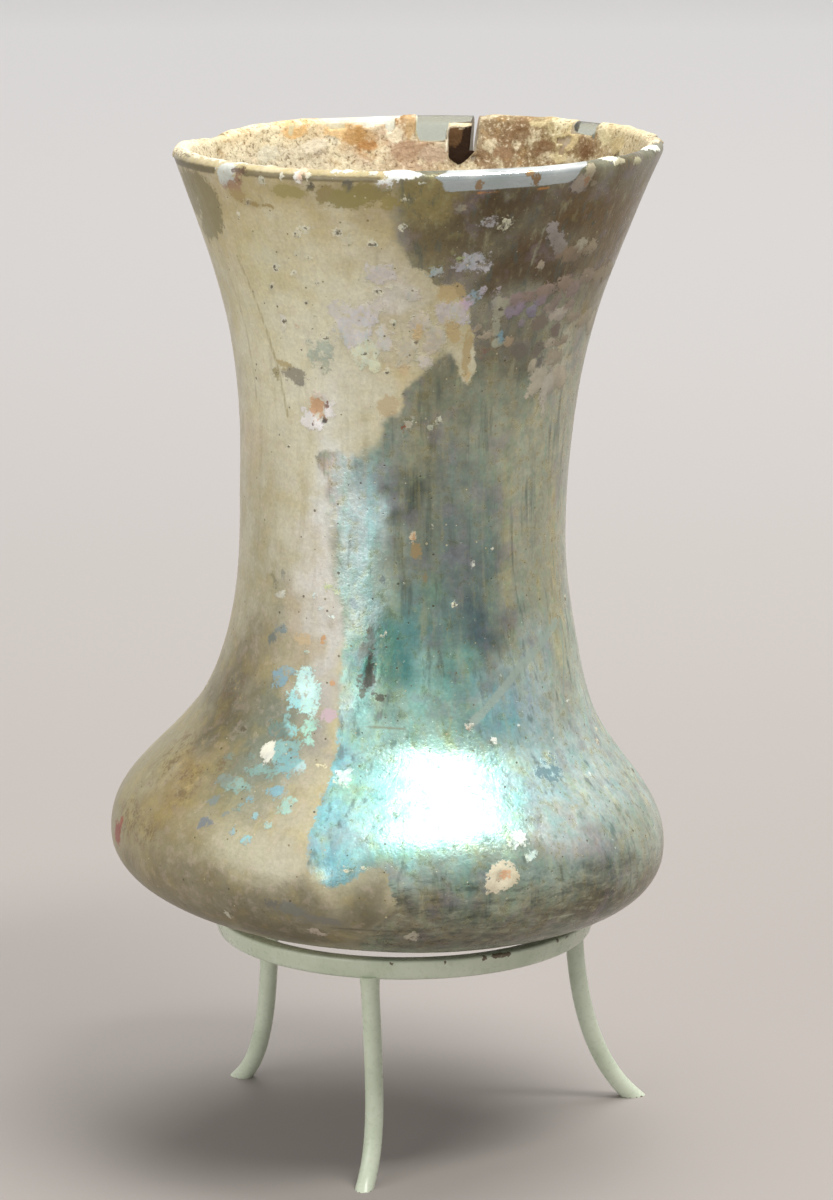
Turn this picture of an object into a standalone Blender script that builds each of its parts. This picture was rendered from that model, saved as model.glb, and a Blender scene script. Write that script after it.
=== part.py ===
"""Waisted glass bell beaker standing in a painted metal ring on three rod legs.

Blender 4.5. Metres, +Z up. The feet stand on z = 0, and the origin lies on the floor
under the middle of the beaker's belly. Seen from the front, -Y is near and +X is right.
"""
import math

import bmesh
import bpy
from mathutils import Matrix, Vector
from mathutils.geometry import interpolate_bezier

# Beaker: outer wall. Heights are measured up the beaker's own axis from its widest circle.
BELLY_RADIUS = 0.0456
UNDERSIDE_DROP = 0.0160
SHOULDER_RADIUS = 0.0334
SHOULDER_UP = 0.0201
SHOULDER_SLOPE = math.radians(34.3)
WAIST_RADIUS = 0.0266
WAIST_UP = 0.0523
RIM_RADIUS = 0.0394
RIM_UP = 0.1125
RIM_FLARE = math.radians(22.0)

# An underside power of 2 is an ellipse, and more is fuller towards the belly.
UNDERSIDE_POWER = 2.3

# How far each stretch of the wall keeps its end's direction, as a share of its height.
BELLY_PULL = 0.39
SHOULDER_PULL_DOWN = 0.46
SHOULDER_PULL_UP = 0.24
WAIST_PULL_DOWN = 0.35
WAIST_PULL_UP = 0.47
RIM_PULL = 0.40

# Beaker: thickness of the glass at the wall, at the middle of the base and at the lip.
WALL = 0.0016
BASE_WALL = 0.0032
LIP_WALL = 0.0026
LIP_RUN = 0.0060

# The free-blown form: a slanting rim, and a wall that wanders sideways at the shoulder.
RIM_SLANT = math.radians(3.3)
SWAY = 0.0011
SWAY_UP = 0.0306
SWAY_SPREAD = 0.0158

# The lip dips where the rim is worn away, at the back left. Angles run from +X to +Y.
DIP_ANGLE = math.radians(154.0)
DIP_WIDTH = math.radians(13.0)
DIP_DEPTH = 0.0010
DIP_RUN = 0.0100

# A crack is open through the lip at the back.
CRACK_ANGLE = math.radians(75.4)
CRACK_WIDTH = 0.0011
CRACK_TIP_WIDTH = 0.0003
CRACK_DEPTH = 0.0045

# How the beaker leans in its ring, and how far its axis is off the ring's centre there.
LEAN_RIGHT = math.radians(2.6)
LEAN_BACK = math.radians(3.0)
OFF_CENTRE_LEFT = 0.0028
OFF_CENTRE_FRONT = 0.0037

# Stand: a flat ring whose outer face draws in a little towards the bottom.
RING_TOP = 0.0373
RING_INNER_RADIUS = 0.0290
RING_WIDTH = 0.0029
RING_HEIGHT = 0.0029
RING_DRAFT = 0.0010
RING_EDGE = 0.0003

# Stand: round rod legs, bent out by hand, so each foot splays by its own distance.
LEG_RADIUS = 0.0015
LEG_SET_IN = 0.0004
FRONT_LEG_ANGLE = math.radians(-100.7)
FRONT_FOOT_SPLAY = 0.00475
RIGHT_FOOT_SPLAY = 0.01095
BACK_LEFT_FOOT_SPLAY = 0.00685
FRONT_LEG_BOW = 0.0008
FOOT_SLOPE = math.radians(47.0)
LEG_PULL = 0.58
FOOT_PULL = 0.21

# How far a leg's tube runs on past the floor before it is sawn off level.
LEG_OVERRUN = 0.0045

# Clearance left between pieces that touch.
GAP = 0.0003

# Base colours, linear.
GLASS_COLOUR = (0.40, 0.37, 0.22)
PAINT_COLOUR = (0.58, 0.68, 0.53)
GLASS_ROUGHNESS = 0.30
PAINT_ROUGHNESS = 0.45
GLASS_TRANSMISSION = 0.35

# Fineness of the facets.
BEAKER_SIDES = 56
RING_SIDES = 60
LEG_BEVEL_STEPS = 5
LEG_STATIONS = 11
UNDERSIDE_STEPS = 9
BELLY_STEPS = 8
NECK_STEPS = 7
FLARE_STEPS = 8
LIP_STEPS = 5
SMOOTH_ANGLE = math.radians(40.0)

# Rounds taken to lower the beaker onto its ring, and the merge distance of a seam.
SEAT_PASSES = 8
TINY = 1e-7


def clear_scene():
    for obj in list(bpy.data.objects):
        bpy.data.objects.remove(obj, do_unlink=True)


def make_material(name, colour, roughness, transmission):
    material = bpy.data.materials.new(name)
    material.use_nodes = True
    shader = material.node_tree.nodes["Principled BSDF"]
    shader.inputs["Base Color"].default_value = (*colour, 1.0)
    shader.inputs["Roughness"].default_value = roughness
    shader.inputs["Metallic"].default_value = 0.0
    shader.inputs["Transmission Weight"].default_value = transmission
    material.diffuse_color = (*colour, 1.0)
    return material


def make_object(name, bm, material):
    bmesh.ops.recalc_face_normals(bm, faces=bm.faces)
    mesh = bpy.data.meshes.new(name)
    bm.to_mesh(mesh)
    bm.free()
    mesh.shade_smooth()
    mesh.set_sharp_from_angle(angle=SMOOTH_ANGLE)
    mesh.materials.append(material)
    obj = bpy.data.objects.new(name, mesh)
    bpy.context.collection.objects.link(obj)
    return obj


def turn_outline(points, sides):
    """Spin (radius, height) points once round Z. Ends that lie on Z become single points."""
    bm = bmesh.new()
    verts = [bm.verts.new((radius, 0.0, height)) for radius, height in points]
    edges = [bm.edges.new(pair) for pair in zip(verts, verts[1:])]
    bmesh.ops.spin(bm, geom=verts + edges, axis=(0, 0, 1), cent=(0, 0, 0),
                   angle=math.tau, steps=sides, use_merge=True)
    bmesh.ops.remove_doubles(bm, verts=bm.verts, dist=TINY)
    return bm


# Beaker

def underside_drop(radius):
    """How far the underside lies below the widest circle at this radius."""
    share = min(radius / BELLY_RADIUS, 1.0)
    return UNDERSIDE_DROP * (1.0 - share ** UNDERSIDE_POWER) ** (1.0 / UNDERSIDE_POWER)


def wall_stretch(low, low_slope, low_pull, high, high_slope, high_pull, steps):
    """One smooth stretch of the wall; a slope is its lean outwards from the upright."""
    height = high.y - low.y
    low_handle = low + Vector((math.sin(low_slope), math.cos(low_slope))) * low_pull * height
    high_handle = high - Vector((math.sin(high_slope), math.cos(high_slope))) * high_pull * height
    return [point.to_2d() for point in interpolate_bezier(
        low.to_3d(), low_handle.to_3d(), high_handle.to_3d(), high.to_3d(), steps + 1)]


def outer_outline():
    """(radius, height) from the middle of the base up to the lip."""
    belly = Vector((BELLY_RADIUS, 0.0))
    shoulder = Vector((SHOULDER_RADIUS, SHOULDER_UP))
    waist = Vector((WAIST_RADIUS, WAIST_UP))
    rim = Vector((RIM_RADIUS, RIM_UP))
    outline = []
    for step in range(UNDERSIDE_STEPS):
        radius = BELLY_RADIUS * math.sin(0.5 * math.pi * step / UNDERSIDE_STEPS)
        outline.append(Vector((radius, -underside_drop(radius))))
    outline += wall_stretch(belly, 0.0, BELLY_PULL,
                            shoulder, -SHOULDER_SLOPE, SHOULDER_PULL_DOWN, BELLY_STEPS)[:-1]
    outline += wall_stretch(shoulder, -SHOULDER_SLOPE, SHOULDER_PULL_UP,
                            waist, 0.0, WAIST_PULL_DOWN, NECK_STEPS)[:-1]
    outline += wall_stretch(waist, 0.0, WAIST_PULL_UP,
                            rim, RIM_FLARE, RIM_PULL, FLARE_STEPS)
    return outline


def thickness_at(point):
    if point.y < 0.0:
        inward = 1.0 - point.x / BELLY_RADIUS
        return WALL + (BASE_WALL - WALL) * inward
    near_lip = max(0.0, 1.0 - (RIM_UP - point.y) / LIP_RUN)
    return WALL + (LIP_WALL - WALL) * near_lip


def inner_outline(outer):
    """The outer outline moved in square to itself by the glass's thickness, lip to base."""
    inner = []
    for before, point, after in zip(outer, outer[1:], outer[2:] + [None]):
        along = ((after or point) - before).normalized()
        inner.append(point + Vector((-along.y, along.x)) * thickness_at(point))
    floor = Vector((0.0, outer[0].y + BASE_WALL))
    return list(reversed(inner)) + [floor]


def lip_round(outside, inside):
    """A half circle from the outer edge of the lip over to the inner edge."""
    centre = (outside + inside) / 2
    arm = outside - centre
    return [centre + Matrix.Rotation(math.pi * step / LIP_STEPS, 2) @ arm
            for step in range(1, LIP_STEPS)]


def shape_by_hand(bm):
    """Slant the rim, let the axis wander and wear the lip down in one place."""
    for vert in bm.verts:
        up = vert.co.z
        share = min(max((up - WAIST_UP) / (RIM_UP - WAIST_UP), 0.0), 1.0)
        ease = share * share * (3.0 - 2.0 * share)
        vert.co.z += math.tan(RIM_SLANT) * ease * vert.co.x
        from_dip = (math.atan2(vert.co.y, vert.co.x) - DIP_ANGLE) / DIP_WIDTH
        near_lip = min(max(1.0 - (RIM_UP - up) / DIP_RUN, 0.0), 1.0)
        vert.co.z -= DIP_DEPTH * near_lip * math.exp(-from_dip ** 2)
        vert.co.x += SWAY * math.exp(-((up - SWAY_UP) / SWAY_SPREAD) ** 2)


def beaker_turn():
    return Matrix.Rotation(-LEAN_BACK, 4, "X") @ Matrix.Rotation(LEAN_RIGHT, 4, "Y")


def stand_centre():
    """The beaker has slid forwards and left on its ring, so the ring stands back and right."""
    return Vector((OFF_CENTRE_LEFT, OFF_CENTRE_FRONT, 0.0))


def seat_height():
    """Height of the widest circle's centre with the underside one gap clear of the ring."""
    to_beaker = beaker_turn().inverted()
    centre = stand_centre()
    height = RING_TOP + UNDERSIDE_DROP
    for _ in range(SEAT_PASSES):
        clearances = []
        for radius in (RING_INNER_RADIUS, RING_INNER_RADIUS + RING_WIDTH):
            for step in range(RING_SIDES):
                angle = math.tau * step / RING_SIDES
                edge = Vector((radius * math.cos(angle), radius * math.sin(angle), RING_TOP))
                local = to_beaker @ (edge + centre - Vector((0.0, 0.0, height)))
                clearances.append(-underside_drop(local.xy.length) - local.z)
        height -= min(clearances) - GAP
    return height


def make_crack_cutter(beaker):
    """A wedge, wide at the lip, that runs right through the wall on one side only."""
    rim_rise = RIM_RADIUS * math.tan(RIM_SLANT)
    bm = bmesh.new()
    bmesh.ops.create_cube(bm, size=1.0)
    for vert in bm.verts:
        is_top = vert.co.z > 0
        width = CRACK_WIDTH if is_top else CRACK_TIP_WIDTH
        level = LIP_WALL + rim_rise if is_top else -CRACK_DEPTH
        vert.co = Vector((vert.co.x * RIM_RADIUS, vert.co.y * width, level))
    place = (Matrix.Translation((0.0, 0.0, RIM_UP + rim_rise * math.cos(CRACK_ANGLE)))
             @ Matrix.Rotation(CRACK_ANGLE, 4, "Z")
             @ Matrix.Translation((RIM_RADIUS, 0.0, 0.0)))
    bmesh.ops.transform(bm, matrix=place, verts=bm.verts)
    cutter = make_object("crack_cutter", bm, beaker.data.materials[0])
    cutter.parent = beaker
    cutter.hide_render = True
    cutter.display_type = "WIRE"
    return cutter


def make_beaker(material):
    outer = outer_outline()
    inner = inner_outline(outer)
    bm = turn_outline(outer + lip_round(outer[-1], inner[0]) + inner, BEAKER_SIDES)
    shape_by_hand(bm)
    beaker = make_object("beaker", bm, material)
    beaker.matrix_world = Matrix.Translation((0.0, 0.0, seat_height())) @ beaker_turn()
    cut = beaker.modifiers.new("crack", "BOOLEAN")
    cut.operation = "DIFFERENCE"
    cut.solver = "EXACT"
    cut.object = make_crack_cutter(beaker)
    return beaker


# Stand

def make_ring(material):
    """Bevel the corners of the ring's cross section, then spin its outline."""
    bottom = RING_TOP - RING_HEIGHT
    outer_radius = RING_INNER_RADIUS + RING_WIDTH
    corners = [(RING_INNER_RADIUS, bottom), (outer_radius - RING_DRAFT, bottom),
               (outer_radius, RING_TOP), (RING_INNER_RADIUS, RING_TOP)]
    bm = bmesh.new()
    bm.faces.new([bm.verts.new((radius, 0.0, height)) for radius, height in corners])
    bmesh.ops.bevel(bm, geom=bm.verts[:], offset=RING_EDGE, offset_type="OFFSET", segments=1,
                    profile=0.5, affect="VERTICES", material=-1)
    bmesh.ops.delete(bm, geom=bm.faces[:], context="FACES_ONLY")
    bmesh.ops.spin(bm, geom=bm.verts[:] + bm.edges[:], axis=(0, 0, 1), cent=(0, 0, 0),
                   angle=math.tau, steps=RING_SIDES, use_merge=True)
    bmesh.ops.remove_doubles(bm, verts=bm.verts, dist=TINY)
    ring = make_object("stand_ring", bm, material)
    ring.location = stand_centre()
    return ring


def leg_route(splay, bow):
    """Straight down from under the ring, then out to the foot and on below the floor.

    A bow carries the middle of the leg sideways.
    """
    top_radius = RING_INNER_RADIUS + RING_WIDTH / 2 - LEG_SET_IN
    top = Vector((top_radius, 0.0, RING_TOP - RING_HEIGHT - GAP))
    foot = Vector((top_radius + splay, 0.0, 0.0))
    out = Vector((math.sin(FOOT_SLOPE), 0.0, -math.cos(FOOT_SLOPE)))
    top_handle = top - Vector((0.0, 0.0, LEG_PULL * top.z))
    foot_handle = foot - out * FOOT_PULL * top.z
    route = interpolate_bezier(top, top_handle, foot_handle, foot, LEG_STATIONS)
    for step, place in enumerate(route):
        place.y += bow * math.sin(math.pi * step / (LEG_STATIONS - 1))
    return route + [foot + out * LEG_OVERRUN]


def make_leg(name, angle, splay, bow, material):
    """A bevelled curve turned to mesh, with its foot sawn off level at the floor."""
    curve = bpy.data.curves.new(name, "CURVE")
    curve.dimensions = "3D"
    curve.bevel_depth = LEG_RADIUS
    curve.bevel_resolution = LEG_BEVEL_STEPS
    curve.use_fill_caps = True
    route = leg_route(splay, bow)
    spline = curve.splines.new("POLY")
    spline.points.add(len(route) - 1)
    for spot, place in zip(spline.points, route):
        spot.co = (*place, 1.0)
    rod = bpy.data.objects.new(name + "_rod", curve)
    bpy.context.collection.objects.link(rod)
    depsgraph = bpy.context.evaluated_depsgraph_get()
    tube = bpy.data.meshes.new_from_object(rod.evaluated_get(depsgraph))
    bpy.data.objects.remove(rod, do_unlink=True)

    bm = bmesh.new()
    bm.from_mesh(tube)
    bpy.data.meshes.remove(tube)
    bmesh.ops.remove_doubles(bm, verts=bm.verts, dist=TINY)
    whole_tube = bm.verts[:] + bm.edges[:] + bm.faces[:]
    bmesh.ops.bisect_plane(bm, geom=whole_tube, plane_co=(0, 0, 0), plane_no=(0, 0, 1),
                           clear_inner=True, dist=TINY)
    sawn_edges = [edge for edge in bm.edges if edge.is_boundary]
    bmesh.ops.edgeloop_fill(bm, edges=sawn_edges)
    leg = make_object(name, bm, material)
    leg.location = stand_centre()
    leg.rotation_euler = (0.0, 0.0, angle)
    return leg


def make_stand(material):
    make_ring(material)
    legs = (("stand_leg_front", FRONT_FOOT_SPLAY, FRONT_LEG_BOW),
            ("stand_leg_right", RIGHT_FOOT_SPLAY, 0.0),
            ("stand_leg_back_left", BACK_LEFT_FOOT_SPLAY, 0.0))
    for number, (name, splay, bow) in enumerate(legs):
        angle = FRONT_LEG_ANGLE + math.tau * number / len(legs)
        make_leg(name, angle, splay, bow, material)


def main():
    clear_scene()
    glass = make_material("weathered_glass", GLASS_COLOUR, GLASS_ROUGHNESS, GLASS_TRANSMISSION)
    paint = make_material("pale_green_paint", PAINT_COLOUR, PAINT_ROUGHNESS, 0.0)
    make_beaker(glass)
    make_stand(paint)


main()
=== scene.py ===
# %% [markdown]
# A weathered glass bell beaker in its stand.
#
# The beaker is free-blown olive glass, buried for centuries, so its look is mostly that of its
# weathered skins: a khaki bloom, a thin iridescent film, flakes, and a lime crust in the mouth.
# It leans in a painted metal ring on three rod legs. This script builds the fine model around
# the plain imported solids, in the same places, one step at a time.

# %% Load the frame
import math
import random
from functools import partial

import bmesh
import bpy
import numpy as np
from mathutils import Matrix, Vector, noise
from mathutils.geometry import interpolate_bezier


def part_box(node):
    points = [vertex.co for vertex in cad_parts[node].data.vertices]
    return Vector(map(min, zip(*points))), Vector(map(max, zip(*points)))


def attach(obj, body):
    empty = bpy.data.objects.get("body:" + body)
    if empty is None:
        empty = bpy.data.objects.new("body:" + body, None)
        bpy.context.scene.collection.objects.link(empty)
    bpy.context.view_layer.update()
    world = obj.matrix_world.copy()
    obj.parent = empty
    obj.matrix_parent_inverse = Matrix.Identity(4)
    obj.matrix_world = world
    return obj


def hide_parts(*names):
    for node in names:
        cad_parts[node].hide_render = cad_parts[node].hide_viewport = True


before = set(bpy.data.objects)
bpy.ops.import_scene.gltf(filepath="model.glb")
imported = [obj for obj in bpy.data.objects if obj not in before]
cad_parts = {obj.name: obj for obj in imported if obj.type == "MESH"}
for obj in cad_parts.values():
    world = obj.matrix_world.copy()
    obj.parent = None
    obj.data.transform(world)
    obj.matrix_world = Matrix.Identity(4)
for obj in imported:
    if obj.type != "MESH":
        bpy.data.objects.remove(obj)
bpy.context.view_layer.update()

MM = 0.001

# %% [markdown]
# Colours are given as screen hex values. Blender mixes light in linear values, so one
# function turns each hex into linear red, green and blue. The object's sizes are in
# millimetres, as a maker would give them, and become metres when a mesh is put in its place.

# %% Helpers for colours, nodes and objects


def linear(hex_colour):
    """Turn "#RRGGBB" as seen on a screen into linear values."""
    values = [int(hex_colour[place:place + 2], 16) / 255 for place in (1, 3, 5)]
    return tuple(v / 12.92 if v <= 0.04045 else ((v + 0.055) / 1.055) ** 2.4 for v in values)


def colour(hex_colour):
    return (*linear(hex_colour), 1.0)


def add_node(tree, kind, settings=None, out=0, **links):
    """Add a node, or take one that is there; feed its sockets, by name or _number."""
    node = kind if isinstance(kind, bpy.types.Node) else tree.nodes.new("ShaderNode" + kind)
    for name, value in (settings or {}).items():
        setattr(node, name, value)
    for name, value in links.items():
        key = int(name[1:]) if name[0] == "_" else name.replace("_", " ")
        if isinstance(value, bpy.types.NodeSocket):
            tree.links.new(value, node.inputs[key])
        else:
            node.inputs[key].default_value = value
    return node.outputs[out]


def new_material(name):
    """A material, its shader and the node-adding helper tied to its tree."""
    material = bpy.data.materials.new(name)
    material.use_nodes = True
    tree = material.node_tree
    return material, tree.nodes["Principled BSDF"], partial(add_node, tree)


def per_mm(size):
    """The scale that gives a texture features of this size in millimetres."""
    return 1 / (size * MM)


def as_object(name, bm, material, smooth_angle=math.radians(60)):
    mesh = bpy.data.meshes.new(name)
    bm.to_mesh(mesh)
    bm.free()
    mesh.shade_smooth()
    mesh.set_sharp_from_angle(angle=smooth_angle)
    mesh.materials.append(material)
    piece = bpy.data.objects.new(name, mesh)
    bpy.context.collection.objects.link(piece)
    return piece


print("helpers ready; mid grey #808080 is", round(linear("#808080")[0], 3), "in linear light")

# %% [markdown]
# The beaker is round, so its wall is one outline spun about its axis. The outline is the same
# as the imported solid's: an underside that is fuller than an ellipse, then three smooth
# stretches up to the shoulder, the waist and the rim. Only the steps are finer. Each pair is a
# radius and a height, and PULLS says how far the handles of each stretch reach, as a share of
# its height.

# %% The beaker's sizes, in millimetres up its own axis from its widest circle
BELLY_RADIUS = 45.6
UNDERSIDE_DROP = 16.0
UNDERSIDE_POWER = 2.3
SHOULDER = (33.4, 20.1)
SHOULDER_SLOPE = math.radians(34.3)
WAIST = (26.6, 52.3)
RIM = (39.4, 112.5)
RIM_FLARE = math.radians(22.0)
PULLS = (0.39, 0.46, 0.24, 0.35, 0.47, 0.40)
WALL, BASE_WALL, LIP_WALL, LIP_RUN = 1.6, 3.2, 2.6, 6.0
print("the beaker is", 2 * BELLY_RADIUS, "mm across and", RIM[1] + UNDERSIDE_DROP, "mm tall")

# %% [markdown]
# Each stretch of the wall is a Bezier curve, because its two handles give it the right lean at
# both ends and a smooth way between them. The inside is the same outline in fewer steps, moved
# in by the thickness of the glass, which grows towards the lip and the middle of the base. Half
# a circle rounds the lip.

# %% Draw the wall's outline


def bend(low, low_slope, low_pull, high, high_slope, high_pull, steps):
    """One smooth stretch of the wall; a slope is its lean outwards from the upright."""
    low, high = Vector(low), Vector(high)
    height = high.y - low.y
    low_handle = low + Vector((math.sin(low_slope), math.cos(low_slope))) * low_pull * height
    high_handle = high - Vector((math.sin(high_slope), math.cos(high_slope))) * high_pull * height
    return [point.to_2d() for point in interpolate_bezier(
        low.to_3d(), low_handle.to_3d(), high_handle.to_3d(), high.to_3d(), steps + 1)]


def outer_outline(under_steps, belly_steps, neck_steps, flare_steps):
    outline = []
    for step in range(under_steps):
        share = math.sin(0.5 * math.pi * step / under_steps)
        drop = UNDERSIDE_DROP * (1 - share ** UNDERSIDE_POWER) ** (1 / UNDERSIDE_POWER)
        outline.append(Vector((BELLY_RADIUS * share, -drop)))
    belly = (BELLY_RADIUS, 0)
    outline += bend(belly, 0, PULLS[0], SHOULDER, -SHOULDER_SLOPE, PULLS[1], belly_steps)[:-1]
    outline += bend(SHOULDER, -SHOULDER_SLOPE, PULLS[2], WAIST, 0, PULLS[3], neck_steps)[:-1]
    outline += bend(WAIST, 0, PULLS[4], RIM, RIM_FLARE, PULLS[5], flare_steps)
    return outline


def thickness_at(point):
    if point.y < 0:
        return WALL + (BASE_WALL - WALL) * (1 - point.x / BELLY_RADIUS)
    return WALL + (LIP_WALL - WALL) * max(0.0, 1 - (RIM[1] - point.y) / LIP_RUN)


def inner_outline(outer):
    """The outer outline moved in square to itself by the glass's thickness, lip to base."""
    inner = []
    for before, point, after in zip(outer, outer[1:], outer[2:] + [None]):
        along = ((after or point) - before).normalized()
        inner.append(point + Vector((-along.y, along.x)) * thickness_at(point))
    return list(reversed(inner)) + [Vector((0.0, outer[0].y + BASE_WALL))]


def lip_round(outer_edge, inner_edge, steps):
    centre = (outer_edge + inner_edge) / 2
    return [centre + Matrix.Rotation(math.pi * step / steps, 2) @ (outer_edge - centre)
            for step in range(1, steps)]


outside = outer_outline(under_steps=34, belly_steps=30, neck_steps=40, flare_steps=72)
inside = inner_outline(outer_outline(under_steps=8, belly_steps=8, neck_steps=12, flare_steps=46))
lip = lip_round(outside[-1], inside[0], steps=9)
wall_outline = outside + lip + inside
print("the wall's outline has", len(wall_outline), "points")

# %% [markdown]
# Marks on the glass need an address. Azimuth says how far round, in degrees, with -90 at the
# front. "Run" says how far up: on the outside it is the height in millimetres, and from the
# rim's outer edge it goes on as the distance over the lip and down the inside. Each outline
# point carries its run into the spin, so every vertex knows both.

# %% Spin the wall
SIDES = 360
MERGE_WITHIN = 0.0001


def runs_of(outline, last_outside):
    """Height up to the rim's outer edge, then distance travelled over the lip and down."""
    runs = [point.y for point in outline[:last_outside + 1]]
    for before, point in zip(outline[last_outside:], outline[last_outside + 1:]):
        runs.append(runs[-1] + (point - before).length)
    return runs


def spin_outline(outline, runs, sides):
    bm = bmesh.new()
    run_layer = bm.verts.layers.float.new("run")
    verts = []
    for point, run in zip(outline, runs):
        vert = bm.verts.new((point.x, 0.0, point.y))
        vert[run_layer] = run
        verts.append(vert)
    edges = [bm.edges.new(pair) for pair in zip(verts, verts[1:])]
    bmesh.ops.spin(bm, geom=verts + edges, axis=(0, 0, 1), cent=(0, 0, 0),
                   angle=math.tau, steps=sides, use_merge=True)
    bmesh.ops.remove_doubles(bm, verts=bm.verts, dist=MERGE_WITHIN)
    return bm


wall_runs = runs_of(wall_outline, len(outside) - 1)
inner_edge_run = wall_runs[len(outside) + len(lip)]
wall = spin_outline(wall_outline, wall_runs, SIDES)
print("wall spun:", len(wall.faces), "faces; the inside starts at run", round(inner_edge_run, 2))

# %% [markdown]
# A crack is open through the lip at the back. The faces of one narrow column are deleted from
# the outside over the lip to the inside, the two edges are moved apart as a wedge, and the
# cut walls of the glass are closed again. The column is one step of the spin wide.

# %% Open the crack
CRACK_ANGLE, CRACK_WIDTH, CRACK_TIP_WIDTH, CRACK_DEPTH = 75.4, 1.1, 0.3, 4.5


def azimuth_of(spot):
    return math.degrees(math.atan2(spot.y, spot.x))


def open_crack(bm):
    run_layer = bm.verts.layers.float["run"]
    column = math.floor(CRACK_ANGLE)
    slit = []
    for face in bm.faces:
        middle = face.calc_center_median()
        if column < azimuth_of(middle) < column + 1 and middle.z > RIM[1] - CRACK_DEPTH:
            slit.append(face)
    bmesh.ops.delete(bm, geom=slit, context="FACES")
    left = []
    right = []
    for vert in bm.verts:
        if any(edge.is_boundary for edge in vert.link_edges):
            side = right if azimuth_of(vert.co) < column + 0.5 else left
            side.append(vert)
    for verts, way in ((right, -1), (left, 1)):
        verts.sort(key=lambda vert: vert[run_layer])
        for vert in verts:
            share = min(max((vert.co.z - RIM[1] + CRACK_DEPTH) / CRACK_DEPTH, 0), 1)
            half_width = (CRACK_TIP_WIDTH + (CRACK_WIDTH - CRACK_TIP_WIDTH) * share) / 2
            radius = vert.co.xy.length
            angle = math.radians(CRACK_ANGLE) + way * half_width / radius
            vert.co.xy = (radius * math.cos(angle), radius * math.sin(angle))
    bm.faces.new(left)
    bm.faces.new(list(reversed(right)))
    bm.faces.new((left[0], left[-1], right[-1], right[0]))
    bmesh.ops.recalc_face_normals(bm, faces=bm.faces)
    return len(slit)


print("crack opened through", open_crack(wall), "faces")

# %% [markdown]
# The next step paints the weathering on the mesh, as attributes: a value or a colour for each
# vertex, which the material reads back. They are read and written for the whole mesh at once.
# Smooth noise, worked out for each vertex too, keeps edges and relief from looking ruled.

# %% Values and noise on a mesh
SEED_STEPS = (17.3, 5.1, 9.7)


def places_of(mesh):
    places = np.empty(len(mesh.vertices) * 3)
    mesh.vertices.foreach_get("co", places)
    return places.reshape(-1, 3)


def noise_over(places, *parts):
    """Smooth noises added up; each has its height, the size of its lumps and a seed."""
    total = np.zeros(len(places))
    for height, size, seed in parts:
        offset = Vector([seed * step for step in SEED_STEPS])
        total += height * np.array([noise.noise(Vector(place) / size + offset) for place in places])
    return total


def store_value(mesh, name, values):
    layer = mesh.attributes.new(name, "FLOAT", "POINT")
    layer.data.foreach_set("value", np.ascontiguousarray(values, dtype=np.float32))


def store_colour(mesh, name, tint):
    layer = mesh.attributes.new(name, "FLOAT_COLOR", "POINT")
    full = np.ones((len(tint), 4), np.float32)
    full[:, :3] = tint
    layer.data.foreach_set("color", full.ravel())


print("attributes and noise are ready")

# %% [markdown]
# Nothing painted is an image: each mark is set down as a brush stroke at its address, with a
# half width in degrees, a half height in millimetres and a given colour. Soft washes
# blend into each other, and noise makes their edges stray, less so where a stroke is small.
# Crisp patches, zones and thin lines store how far a vertex lies inside their border, and the
# shader roughens that border with noise much finer than the mesh. Zones and lines are drawn on
# the wall as if it were unrolled at the shoulder.

# %% Brushes
STRAY_ACROSS = ((4.2, 6.0, 11), (1.8, 1.8, 11))
STRAY_UP = ((4.2, 6.0, 12), (1.8, 1.8, 12))
FULL_STRAY = 3.0
WASH_POWER = 1.3
WASH_REACH = 3
FAR_OUTSIDE = -4.0
LEAST_RADIUS = 1.0
ONE_DEGREE = math.radians(1) * SHOULDER[0]


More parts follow.
